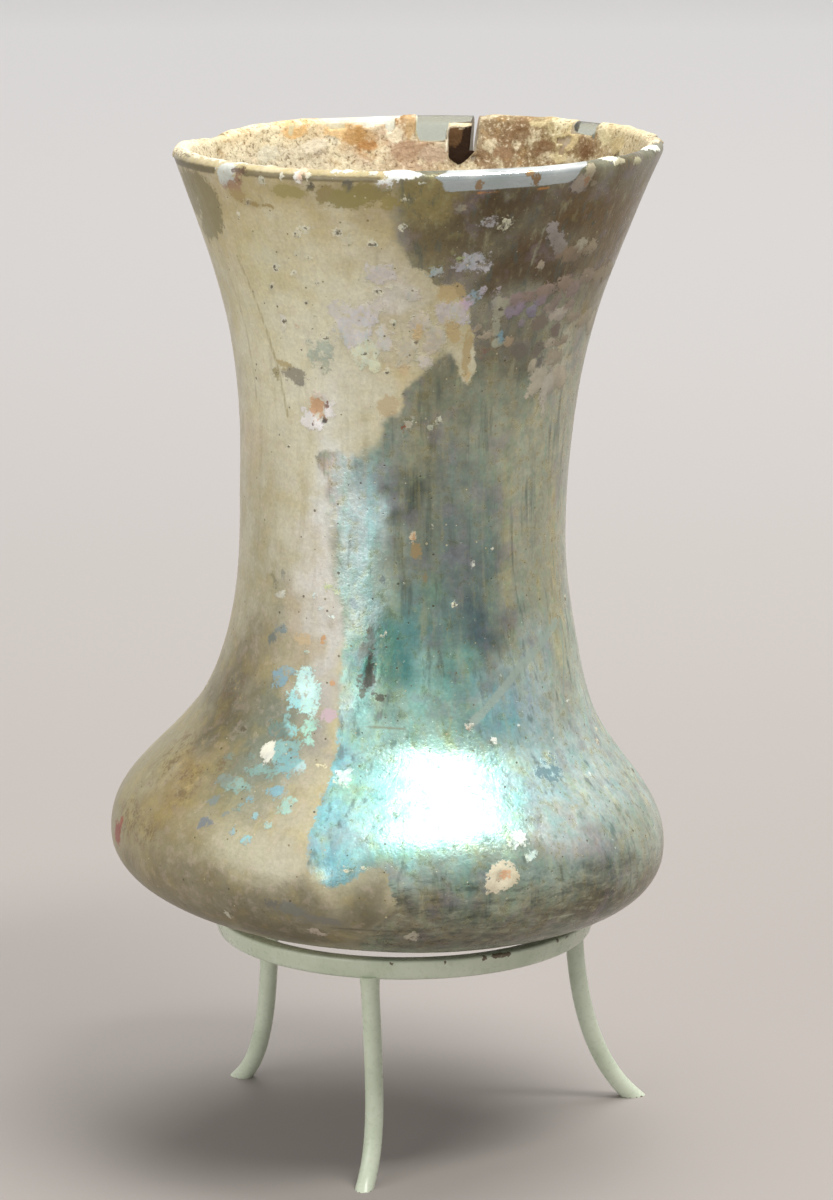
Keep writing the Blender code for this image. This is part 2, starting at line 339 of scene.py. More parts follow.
class Skin:
    """The addresses of a mesh's vertices, and the layers painted on them."""

    def __init__(self, mesh):
        self.mesh = mesh
        self.places = places_of(mesh)
        self.radius = np.maximum(np.hypot(self.places[:, 0], self.places[:, 1]), LEAST_RADIUS)
        self.azimuth = np.degrees(np.arctan2(self.places[:, 1], self.places[:, 0]))
        self.run = np.empty(len(self.places))
        mesh.attributes["run"].data.foreach_get("value", self.run)
        self.stray_turn = np.degrees(noise_over(self.places, *STRAY_ACROSS) / self.radius)
        self.stray_up = noise_over(self.places, *STRAY_UP)

    def turn_from(self, azimuth):
        return (self.azimuth - azimuth + 180) % 360 - 180

    def washes(self, name, ground, strokes):
        """Soft strokes of colour on a plain ground."""
        tint = np.tile(linear(ground), (len(self.run), 1))
        for azimuth, run, wide, tall, shade, strength in strokes:
            share = min(1.0, tall / FULL_STRAY)
            across = (self.turn_from(azimuth) + share * self.stray_turn) / wide
            fall = across ** 2 + ((self.run - run + share * self.stray_up) / tall) ** 2
            near = np.nonzero(fall < WASH_REACH ** 2)[0]
            weight = strength * np.exp(-0.5 * fall[near] ** WASH_POWER)[:, None]
            tint[near] += (np.array(linear(shade)) - tint[near]) * weight
        store_colour(self.mesh, name, tint)

    def inside_of(self, stroke):
        """How far inside an elliptic stroke: 0 on its border, more in the middle of a big one."""
        azimuth, run, wide, tall, tilt = stroke[:5]
        across = np.radians(self.turn_from(azimuth)) * self.radius
        up = self.run - run
        lean = math.radians(tilt)
        along = across * math.cos(lean) + up * math.sin(lean)
        over = up * math.cos(lean) - across * math.sin(lean)
        half_wide = np.radians(wide) * self.radius
        size = np.minimum(half_wide, tall)
        return (1 - np.hypot(along / half_wide, over / tall)) * np.sqrt(size)

    def deepest(self, strokes):
        return np.max([self.inside_of(stroke) for stroke in strokes], axis=0)

    def store_nearest(self, name, marks):
        """Store how far inside the nearest mark each vertex lies, and that mark's colour."""
        depth = np.full(len(self.run), FAR_OUTSIDE)
        tint = np.ones((len(self.run), 3))
        for inside_by, shade in marks:
            nearer = inside_by > depth
            depth[nearer] = inside_by[nearer]
            tint[nearer] = linear(shade)
        store_value(self.mesh, name, depth)
        store_colour(self.mesh, name + "_colour", tint)

    def patches(self, name, strokes):
        self.store_nearest(name, ((self.inside_of(stroke), stroke[5]) for stroke in strokes))

    def from_stretch(self, start, end):
        """Millimetres from a straight stretch between two addresses, and the share along it."""
        (x0, y0), (x1, y1) = [(azimuth * ONE_DEGREE, run) for azimuth, run in (start, end)]
        dx, dy = x1 - x0, y1 - y0
        x, y = self.azimuth * ONE_DEGREE - x0, self.run - y0
        share = np.clip((x * dx + y * dy) / (dx * dx + dy * dy), 0, 1)
        return np.hypot(x - share * dx, y - share * dy), share

    def trails(self, name, lines):
        """Thin lines, each with its half width, its colour and its (azimuth, run) points."""
        self.store_nearest(name, (
            (half_width - self.from_stretch(start, end)[0], shade)
            for half_width, shade, *points in lines for start, end in zip(points, points[1:])))

    def depth_in(self, corners):
        """Millimetres inside a closed border of (azimuth, run, blur) corners, and the blur there."""
        nearest = np.full(len(self.run), np.inf)
        blur = np.ones(len(self.run))
        is_inside = np.zeros(len(self.run), bool)
        for (a0, r0, b0), (a1, r1, b1) in zip(corners, corners[1:] + corners[:1]):
            away, share = self.from_stretch((a0, r0), (a1, r1))
            closer = away < nearest
            nearest[closer] = away[closer]
            blur[closer] = (b0 + share * (b1 - b0))[closer]
            if r1 != r0:
                crosses = (r0 > self.run) != (r1 > self.run)
                is_inside ^= crosses & (self.azimuth < (a1 - a0) * (self.run - r0) / (r1 - r0) + a0)
        return np.where(is_inside, nearest, -nearest), blur

    def zone(self, name, *borders):
        """Store how far inside the nearest of some closed borders each vertex lies."""
        depths, blurs = zip(*[self.depth_in(corners) for corners in borders])
        best = np.argmax(depths, axis=0)
        store_value(self.mesh, name, np.max(depths, axis=0))
        store_value(self.mesh, name + "_blur", np.choose(best, blurs))


print("washes, patches, zones and trails are ready")

# %% [markdown]
# On the left and above, the glass has lost its film and shows a khaki bloom over an olive body.
# These washes run from the rim down: azimuth, run, half width in degrees, half height in
# millimetres, colour, strength. Later ones lie over earlier ones.

# %% The khaki ground
GROUND = "#B8B08E"
GROUND_WASHES = [
    (-125, 98, 22, 13, "#C8C198", 0.9), (-105, 104, 9, 6, "#C6BE92", 0.8),
    (-106, 110, 9, 2.4, "#7C6F3A", 0.95), (-106.4, 111.4, 1.8, 1.3, "#4E4A34", 0.8),
    (-113.5, 111.2, 2.6, 0.9, "#6A6038", 0.8), (-99, 108.6, 3.5, 2.4, "#7F7242", 0.8),
    (-122, 110.6, 7, 1.8, "#928450", 0.8), (-133, 110, 6, 2.2, "#8C7E4C", 0.8),
    (-142, 108.5, 5, 3, "#A49766", 0.7), (-115, 94, 16, 9, "#DAD6BC", 0.85),
    # (-160, 105) and (-170, 110.6) are olive glass darkened as painted shade along the left edge under
    # the lip.
    (-160, 105, 10, 6, "#7C7248", 0.95), (-170, 110.6, 16, 3, "#665B3C", 0.95),
    (-165, 98, 6, 12, "#A89E84", 0.7), (-150, 95, 6, 8, "#C2B395", 0.7),
    (-150, 78, 14, 14, "#D0CAAE", 0.85), (-134, 98, 5, 7, "#BDB78E", 0.7),
    (-128, 80, 12, 16, "#DEDAC2", 0.85), (-108, 78, 12, 8, "#D2CEB8", 0.85),
    (-95, 88, 9, 8, "#B8AE8E", 0.9), (-98, 101, 4, 4, "#B4A888", 0.7), (-98, 93, 5, 3, "#D6D2CC", 0.85),
    (-93, 80, 4, 3, "#CABB92", 0.7), (-158, 66, 8, 3.5, "#CFC0A6", 0.8),
    (-150, 58, 13, 9, "#B6AE90", 0.7), (-130, 57, 9, 9, "#CAC4AA", 0.8),
    (-117, 56, 5, 15, "#DEE0DC", 0.9), (-122, 46, 6, 8, "#D4D0C6", 0.85),
    (-150, 46, 12, 8, "#A69F82", 0.8), (-136, 40, 5, 5, "#96927C", 0.7),
    (-128, 42, 5, 4, "#B5AC96", 0.7), (-115, 33, 5, 10, "#BCBAB4", 0.9),
    (-125, 35, 5, 4, "#AE9F84", 0.8), (-150, 32, 14, 5, "#8A8064", 0.9),
    (-156, 24, 14, 6, "#635B46", 0.95), (-146, 22, 11, 4.5, "#595239", 0.9),
    (-132, 24, 6, 4, "#6A664E", 0.8), (-134, 17, 6, 3.4, "#67644E", 0.9),
    (-114, 21, 5, 6, "#8A867C", 0.8), (-124, 16, 5, 4, "#7E8478", 0.7),
    (-126, 25, 5, 5, "#6E7462", 0.7), (-112, 8, 5, 7, "#ABA48E", 0.9),
    (-150, 13, 12, 3.4, "#877244", 0.95), (-147, 6, 11, 3.2, "#7C663A", 0.9),
    (-136, 12, 6, 4, "#807856", 0.8), (-162, 10, 6, 7, "#938D70", 0.7), (-124, 9, 6, 4, "#8E8A74", 0.8),
    (-118, 3, 9, 2.4, "#ACA78C", 0.9), (-129, 19, 7, 6, "#717868", 0.9),
    (-94, 1.5, 6, 2.2, "#8E8A72", 0.95), (-90, 3.6, 3, 1.2, "#9C9C88", 0.9),
    (-138, 3, 8, 3, "#867E5E", 0.8), (-130, -2, 24, 2.4, "#7E745A", 0.85),
    (-146, -7.5, 30, 4.5, "#6A6042", 0.95), (-114, -3, 12, 2.2, "#757058", 0.8),
    (-112, -9, 16, 4, "#675F48", 0.9), (-93, -4.6, 5, 3.6, "#655F46", 0.9),
    # (-176, 78) and (-176, 8) darken the left edge towards the outline: painted shade.
    (-92, -0.5, 3, 2, "#787056", 0.8), (-176, 78, 7, 34, "#BCB49E", 0.7),
    (-176, 8, 9, 16, "#877F60", 0.85), (-155, 3, 15, 9, "#857852", 0.45),
    (-150, 97, 26, 14, "#B4AC6E", 0.3), (-122, 110.9, 22, 1.9, "#8E834A", 0.75),
    (-158, 110.6, 14, 2.4, "#857A4A", 0.7), (-99, 107, 3.5, 3.5, "#BCB288", 0.7),
    (150, 60, 26, 40, "#A69E7E", 0.7), (120, 96, 22, 12, "#B7AC8C", 0.7),
    (70, 86, 26, 14, "#9C9070", 0.8), (100, 40, 30, 14, "#AAA28A", 0.7),
    (40, 60, 22, 26, "#A19A7E", 0.7), (140, 10, 26, 8, "#94865E", 0.7), (70, 10, 30, 9, "#A79C7E", 0.7),
    (100, -6, 60, 6, "#7B7358", 0.85), (-135, 112.6, 46, 0.9, "#746940", 0.9),
    # (-135, 115.4) is a painted highlight along the top of the lip.
    (-160, 111.5, 16, 2.0, "#6E6444", 0.8), (-135, 115.4, 46, 1.0, "#B2A984", 0.8),
    (-20, 114, 60, 2.4, "#857B5C", 0.8),
]
print("the khaki ground has", len(GROUND_WASHES), "washes")

# %% [markdown]
# On the right and below, the thin film is still there, with a flaked border on its left that is
# crisp in places and hazy in others. Each corner of the border has its azimuth, its run and how
# blurred it is there. The film is darker, bluish and shiny: brown under the rim, slate in the
# middle, turquoise on the belly, where the palest cyan round the key light's reflection is a
# painted highlight.

# %% The film's border and its colours
FILM_BORDER = [
    (-95.5, 120, 1.6), (-95.5, 108, 1.6), (-94.5, 103.5, 1.2), (-92.6, 100.6, 0.6), (-91, 99, 0.4),
    (-88, 98, 0.3), (-86, 97, 0.3), (-84.5, 95.7, 0.25), (-80, 95.3, 0.3), (-77.5, 94.5, 0.2),
    (-77, 92.8, 0.2), (-74, 92.4, 0.3), (-73, 89.5, 0.3), (-70.8, 87, 0.2), (-70.3, 84, 0.2),
    (-68.8, 81.6, 0.25), (-71, 79.2, 0.3), (-73, 79.6, 0.3), (-74.6, 82, 0.4), (-77, 84.2, 0.5),
    (-80, 84.8, 0.8), (-83, 83, 1.0), (-85.5, 80.8, 0.8), (-89, 79.3, 0.6), (-92, 78.2, 0.4),
    (-91.5, 76, 0.5), (-93, 74, 0.8), (-96, 74.2, 0.8), (-98, 72, 0.9), (-98.5, 70, 1.2),
    (-101, 68.5, 1.6), (-105, 67.2, 1.4), (-110, 67, 1.0), (-114, 67.6, 0.5), (-119, 67, 0.4),
    (-122.5, 66.5, 0.3), (-121, 64, 0.4), (-117.5, 63, 0.6), (-117, 58, 1.4), (-115.5, 52, 1.8),
    (-113.5, 46, 1.8), (-111, 42, 1.4), (-110, 36, 0.8), (-109.5, 28, 0.6), (-108.5, 25, 0.5),
    (-106.6, 21, 0.4), (-106.3, 15, 0.25), (-107.2, 12, 0.25), (-107, 8, 0.3), (-106.4, 4, 0.5),
    (-104.5, 1.8, 0.6), (-101.5, 0.8, 0.4), (-98.5, 1.2, 0.3), (-96, 2.6, 0.25), (-93.5, 4.2, 0.25),
    (-90.5, 4.3, 0.25), (-89, 1, 0.2), (-88, -1.5, 0.2), (-90.5, -4, 0.3), (-95, -9, 0.6),
    (-98, -17, 1.0), (52, -17, 1.0), (47, -8, 1.6), (55, -2, 0.8), (49, 1, 0.4), (44, 3, 0.5),
    (46, 8, 1.2), (53, 12, 0.6), (50, 15, 0.3), (56, 19, 0.5), (51, 24, 1.2), (42, 27, 0.6),
    (44, 31, 0.3), (36, 34, 0.4), (30, 38, 1.0), (33, 44, 1.6), (26, 49, 0.6), (29, 53, 0.4),
    (37, 55, 0.5), (33, 59, 0.9), (40, 66, 1.4), (34, 70, 0.4), (27, 71, 0.4), (22, 76, 0.6),
    (25, 80, 0.3), (16, 83, 0.5), (14, 89, 1.2), (21, 93, 0.5), (18, 97, 0.3), (27, 99, 0.6),
    (36, 106, 1.6), (40, 120, 1.0),
]
FILM = "#90917E"
FILM_WASHES = [
    (-71, 108, 16, 4.0, "#4E3A1C", 0.95), (-86, 103, 7, 5, "#7A6E4E", 0.9),
    (-88, 109, 6, 2.4, "#8F8250", 0.85), (-80, 104, 7, 2, "#625638", 0.7),
    (-60, 98.5, 15, 4.2, "#543F22", 0.95), (-48, 106, 7, 5, "#583F1A", 0.9),
    (-38, 106, 8, 4.5, "#624C1C", 0.95), (-26, 104, 9, 6, "#654A1E", 0.9),
    (-13, 105, 9, 7, "#75622A", 0.9), (-45, 96.5, 10, 1.6, "#54452E", 0.85),
    (-62, 86, 12, 5, "#7C766A", 0.9), (-50, 80, 12, 6, "#6A6650", 0.9),
    (-62, 79, 13, 4.5, "#737260", 0.9), (-80, 78, 9, 3.5, "#72725C", 0.9),
    (-60, 68, 18, 8, "#949886", 0.9), (-30, 79, 8, 8, "#C2BEA8", 0.9), (-92, 67, 8, 6, "#8E9488", 0.85),
    (-72, 62, 12, 7, "#788078", 0.9), (-56, 62, 11, 9, "#A6A994", 0.85),
    (-111, 60, 6, 7, "#DCE0DC", 0.95), (-119, 65, 4, 2.8, "#C2BCBA", 0.98),
    (-103, 61, 6, 4.5, "#6C766E", 0.9), (-107, 53, 5.4, 9, "#C4D6D8", 0.9),
    (-99, 52, 4.2, 9, "#C8DEE0", 0.9), (-90, 60.5, 4, 5, "#3E4A46", 0.95),
    (-91, 46, 5, 6, "#B0C0B4", 0.85), (-75, 51, 12, 8, "#707E7C", 0.9),
    (-60, 49, 10, 8, "#6E7A76", 0.9), (-42, 58, 8, 16, "#ACAE9A", 0.85),
    (-33, 55, 7, 16, "#A1A48E", 0.85), (-19, 50, 9, 24, "#B0AF96", 0.85),
    (-4, 52, 9, 28, "#BABAA6", 0.85), (-108, 46, 4, 7, "#ACBCB8", 0.9),
    (-105, 33, 3.6, 8, "#70968A", 0.9), (-107, 24, 3.2, 3.2, "#C4E4DC", 0.85),
    (-98, 37, 4.4, 7, "#508480", 0.95), (-96, 31, 5, 4, "#4A827C", 0.9),
    (-88, 37, 6, 6, "#4E8688", 0.9), (-81, 31, 7, 4, "#A6CCC2", 0.85), (-80, 41, 6, 5, "#6E908A", 0.8),
    (-66, 39, 7, 5, "#4C6268", 0.9), (-73, 30, 6, 4, "#78A69C", 0.85), (-99, 23, 6, 5, "#AED4CA", 0.9),
    (-82, 25, 9, 3.5, "#A0C4B8", 0.9), (-70, 25, 6, 3, "#7C9C94", 0.85),
    (-62, 27, 5, 3.5, "#76AAAE", 0.9), (-64, 28.4, 3, 1.0, "#A2B8AE", 0.8),
    (-51, 34.2, 5, 1.0, "#A6B6AA", 0.8),
    (-50, 28, 7, 5, "#A0BECA", 0.85), (-39, 31, 8, 7, "#B2C2C0", 0.85), (-25, 28, 7, 8, "#AEB49E", 0.8),
    # From (-80, 13) to (-101, 4.5) the pale cyan washes are partly the film's turquoise and partly a
    # painted glow round the key light's highlight.
    (-9, 28, 9, 11, "#B4BAA6", 0.8), (-80, 13, 18, 6, "#A8E4E0", 0.95),
    (-91, 15, 6, 5, "#B8EAE8", 0.95), (-90, 6.6, 4, 1.8, "#98CCC8", 0.85),
    (-104, 13, 3.6, 8, "#9CD8E2", 0.95), (-96, 17, 4, 4, "#9AD2CA", 0.85),
    (-98, 9.5, 4, 5, "#BEE6E2", 0.9), (-101, 4.5, 4.5, 2.5, "#84B8C4", 0.9),
    (-97.5, 3, 3, 1.6, "#6A9498", 0.9), (-60, 16, 7, 4, "#9ED0CC", 0.8),
    (-49, 14, 9, 6, "#BEDCDE", 0.9), (-30, 15, 10, 8, "#CCDEDC", 0.85),
    (-12, 14, 10, 11, "#C6D2CA", 0.85), (-48, 9, 7, 2.6, "#C6CCC4", 0.8),
    (-43, 6.5, 8, 2.4, "#AAA6A4", 0.85), (-21, 5, 9, 4.5, "#A8AE9A", 0.8),
    (-85, 2.8, 8, 1.7, "#A2B2A8", 0.95), (-70, 2.4, 5, 1.6, "#75877E", 0.9),
    (-30, 3, 8, 3, "#B6BCAC", 0.85), (-56, 3.4, 9, 1.6, "#90A298", 0.8),
    (-37, 2.0, 8, 1.7, "#62665A", 0.9), (-66, -2.4, 24, 1.8, "#5C6258", 0.9),
    (-59, -2.6, 7, 2.2, "#B4BAA4", 0.95), (-94, -3.4, 6, 1.8, "#5C5846", 0.9),
    (-42, -4, 13, 2.6, "#564A30", 0.9), (-34, -8, 12, 4, "#4E4424", 0.9),
    (-62, -8, 26, 4, "#76725D", 0.9), (-83, -8, 15, 4.5, "#898470", 0.9),
    (-14, -6, 13, 4.5, "#766A42", 0.9), (10, 95, 14, 10, "#7B7054", 0.8),
    (8, 70, 14, 10, "#94967E", 0.8), (12, 20, 14, 10, "#9FB4A6", 0.8), (20, -4, 20, 6, "#77725C", 0.85),
    (106, 30, 12, 14, "#80968C", 0.8), (108, 54, 9, 6, "#848468", 0.8),
    (-20, 98, 14, 8, "#685018", 0.9), (-6, 84, 8, 12, "#A69E7C", 0.8),
]
print("the film has", len(FILM_BORDER), "corners and", len(FILM_WASHES), "washes")

# %% [markdown]
# Where the skins have flaked or built up, small crisp patches lie on top. The first are silvery
# lilac flakes on the neck, and a few pale ones lower down; some small white ones are painted
# glints, highlights on the glass. Each patch has its azimuth, run, half width, half height, tilt
# in degrees and colour.

# %% Silvery flakes and painted glints
LILAC_FLAKES_AND_GLINTS = [
    (-108, 88.4, 5.4, 3.4, 16, "#CFCBCA"), (-111.5, 91.2, 4.0, 1.6, 8, "#CFCBC4"),
    (-103.4, 90.4, 3.8, 2.2, 26, "#CECACC"), (-100.4, 91.8, 3.0, 1.2, 12, "#CAC4BC"),
    (-104, 84, 4.2, 2.4, -24, "#D0D4BE"), (-101.4, 82.6, 2.0, 1.6, 0, "#D4D8BC"),
    (-99.5, 97.4, 4.2, 1.9, 10, "#CBC4BF"), (-90.4, 94, 2.4, 1.2, 0, "#C8C0B4"),
    (-98, 86.6, 2.4, 2.4, 0, "#CDC7C0"), (-107.8, 103, 2.0, 1.0, 0, "#D0C9AE"),
    (-79, 91.2, 4.4, 1.9, -12, "#C0B8B4"), (-75.6, 90.2, 3.0, 1.4, -15, "#BFB8B8"),
    (-82.6, 86.6, 3.8, 2.5, 10, "#BDB4A4"), (-87.6, 89.6, 3.4, 1.9, 0, "#C4BBAC"),
    (-91.4, 84.4, 3.4, 2.6, 0, "#BFB8A4"), (-85, 82.8, 2.2, 1.2, 0, "#C6BEB4"),
    (-131.5, 88.2, 1.2, 1.0, 0, "#DCD8CC"), (-132.3, 86.9, 0.8, 0.6, 0, "#D6D2C0"),
    (-118, 83.8, 3.8, 2.0, 8, "#ABB4A4"), (-121.8, 83.2, 1.6, 1.8, 0, "#B0B6A4"),
    (-117.4, 81.2, 2.2, 1.0, 0, "#B2B6A2"), (-127, 87.8, 1.2, 0.6, 0, "#CDB69C"),
    (-71.6, 105.8, 2.5, 0.9, 0, "#A8A4A6"), (-67.4, 105.3, 2.2, 1.2, -10, "#C6C4AC"),
    (-70.6, 106.3, 1.4, 0.5, 0, "#AEAAAC"), (-73.8, 99.2, 4.6, 1.4, -8, "#B2B0B6"),
    (-76.8, 98.5, 2.6, 0.9, 0, "#ACAAB2"), (-72.6, 100.3, 2.6, 0.8, 0, "#A8A6AC"),
    (-84, 97.8, 2.2, 0.9, 0, "#A3AAAA"), (-86.2, 97.2, 1.2, 0.6, 0, "#A6ACA6"),
    (-70.4, 94.4, 1.2, 0.7, 0, "#B5AEB8"), (-74.6, 92.4, 1.5, 0.9, 0, "#BBA6B8"),
    (-72.6, 93.6, 1.4, 0.9, 0, "#8EA4B0"), (-79.6, 108.2, 1.4, 0.5, 0, "#8E8470"),
    (-66, 94.4, 1.2, 0.5, 0, "#A69CA2"), (-53.6, 98, 1.2, 0.7, 0, "#A29481"),
    (-79.4, 73.4, 1.4, 0.6, 0, "#B8BAA8"), (-82, 72.3, 1.6, 0.5, 0, "#A6AA96"),
    (-88.6, 73.6, 0.8, 0.5, 0, "#B4B09C"), (-65, 49.9, 0.7, 0.5, 0, "#D9D9CC"),
    (-42, 43.8, 1.4, 0.4, 8, "#A0A398"), (-40, 42, 1.0, 0.3, 0, "#A0A298"),
    (-61.6, 8.4, 2.4, 1.1, -8, "#EDF5F0"), (-63.4, 7.3, 1.2, 0.4, 0, "#D8E8E2"),
    (-59, 5.7, 1.4, 0.5, 25, "#CDDED8"), (-46, 17, 4.0, 1.4, -8, "#6C8A92"),
    (-43.5, 19, 2.0, 0.7, 0, "#7C98A0"), (-103.6, 16.7, 2.0, 0.9, -15, "#DCEBE8"),
    # (-31, 15.3), (-38.5, 21.3) and (-35.3, 5.8) are painted glints.
    (-101.6, 17.8, 0.8, 0.4, 0, "#C6DCD8"), (-31, 15.3, 0.7, 0.4, 0, "#E4E8DA"),
    (-38.5, 21.3, 0.8, 0.25, 0, "#D9DED4"), (-35.3, 5.8, 0.3, 1.1, 0, "#D6D8CC"),
    (-126, -6.7, 0.8, 0.6, 30, "#C4BEAC"), (-152.6, -0.2, 0.7, 0.25, 0, "#CFC9B6"),
    # (-147.4, 86.6) is a painted glint.
    (-147.4, 86.6, 1.6, 0.3, 4, "#E4E0C8"), (-27, 26, 1.0, 0.3, 0, "#D4D8C8"),
    (-52, 24, 1.0, 0.3, 0, "#DCE6E0"), (-57, 32, 0.8, 0.3, 0, "#CFE0DA"),
]
print(len(LILAC_FLAKES_AND_GLINTS), "silvery flakes")

# %% [markdown]
# Left of the film's border, its last scraps cling to the shoulder and the belly. They shine
# cyan against the dull ground, in a trail that thins out downwards. A few small white marks
# higher up are painted glints.

# %% Cyan flakes and painted glints on the left of the belly
CYAN_FLAKES_AND_GLINTS = [
    (-120.8, 28.8, 4.6, 2.4, -6, "#CDF3F0"), (-123.6, 26.9, 3.4, 1.5, 0, "#AAE2E6"),
    (-119.4, 26.2, 2.4, 1.5, 0, "#C2F0EC"), (-121.6, 31.3, 2.6, 0.9, 0, "#BFE6E4"),
    (-116.8, 27.8, 1.3, 2.2, 0, "#C2E9E4"), (-132.2, 29.6, 3.0, 1.5, 6, "#86A6B4"),
    (-129.0, 31, 2.2, 0.7, 0, "#92A8AC"), (-116.6, 23.3, 2.8, 1.0, 8, "#ABD8C8"),
    (-122.4, 22.4, 2.2, 0.8, -12, "#93CCCE"), (-115.8, 21, 2.2, 0.7, -22, "#A3D0C2"),
    (-124.6, 23.9, 2.0, 0.7, 0, "#8DB5B2"), (-119, 17.6, 4.2, 1.6, -12, "#7EAAAE"),
    (-123, 19, 2.8, 1.3, -20, "#8AB4B2"), (-125.4, 16, 4.6, 1.0, 0, "#7E9E98"),
    (-115.4, 17, 1.5, 1.1, -30, "#A8C6C8"), (-118.8, 13.5, 2.2, 0.9, 0, "#80A8B4"),
    (-124.4, 12.1, 1.1, 0.9, -30, "#7CA8B6"), (-114.6, 11.9, 2.0, 1.2, 0, "#A0C4B8"),
    (-129.6, 13.3, 3.6, 0.9, 0, "#84A098"), (-121.3, 6.3, 1.4, 0.6, 20, "#8EC0CA"),
    (-121.2, 9.8, 0.8, 0.6, 0, "#90B6BA"), (-125, 7.2, 0.7, 0.6, 0, "#8FA9AE"),
    (-134, 13.6, 2.6, 1.0, -10, "#7F8B82"), (-126.2, 22, 3.4, 1.1, -10, "#6E847C"),
    # From (-121, 43.7) to (-117.6, 38.7) the small white marks are painted glints.
    (-119.4, 20.4, 2.0, 0.6, 0, "#86ACA8"), (-121, 43.7, 0.9, 0.5, -20, "#E8F0EC"),
    (-114.4, 40.6, 1.2, 0.35, 0, "#EDF5F1"), (-120.4, 38.5, 0.9, 0.4, 0, "#CFE9DD"),
    (-117.6, 38.7, 0.5, 0.35, 0, "#DCE9E2"), (-118.6, 41.4, 1.0, 0.4, 0, "#D4DED8"),
    (-133.4, 37, 1.4, 0.5, 0, "#A4B6BA"), (-134.4, 43, 0.6, 0.3, 0, "#E2E6DA"),
    (-136.8, 42.7, 1.8, 0.5, 4, "#C3C2B4"), (-115.6, 45.3, 1.9, 0.6, -14, "#C6D2A6"),
    (-113, 44.4, 1.2, 0.4, 0, "#D4DABC"), (-111.8, 36.4, 1.0, 0.5, 0, "#B9CFC8"),
    (-123.4, 34.2, 1.2, 0.4, 0, "#BCC8BC"), (-126.5, 10.4, 1.2, 0.5, 0, "#7E9690"),
    (-130.5, 17.4, 1.6, 0.6, 0, "#7C8C82"), (-117.4, 8.6, 1.1, 0.5, 0, "#A2BCB4"),
    (-137.5, 16.8, 1.6, 0.5, 0, "#7C8678"),
]
print(len(CYAN_FLAKES_AND_GLINTS), "cyan flakes")

# %% [markdown]
# Lime and soil have built up into opaque crusts: a pinkish band on the right of the neck with
# one drip below it, and single pale rings and crumbs elsewhere. Many small overlapping patches
# give the band its broken outline, where one large shape would look cut out.

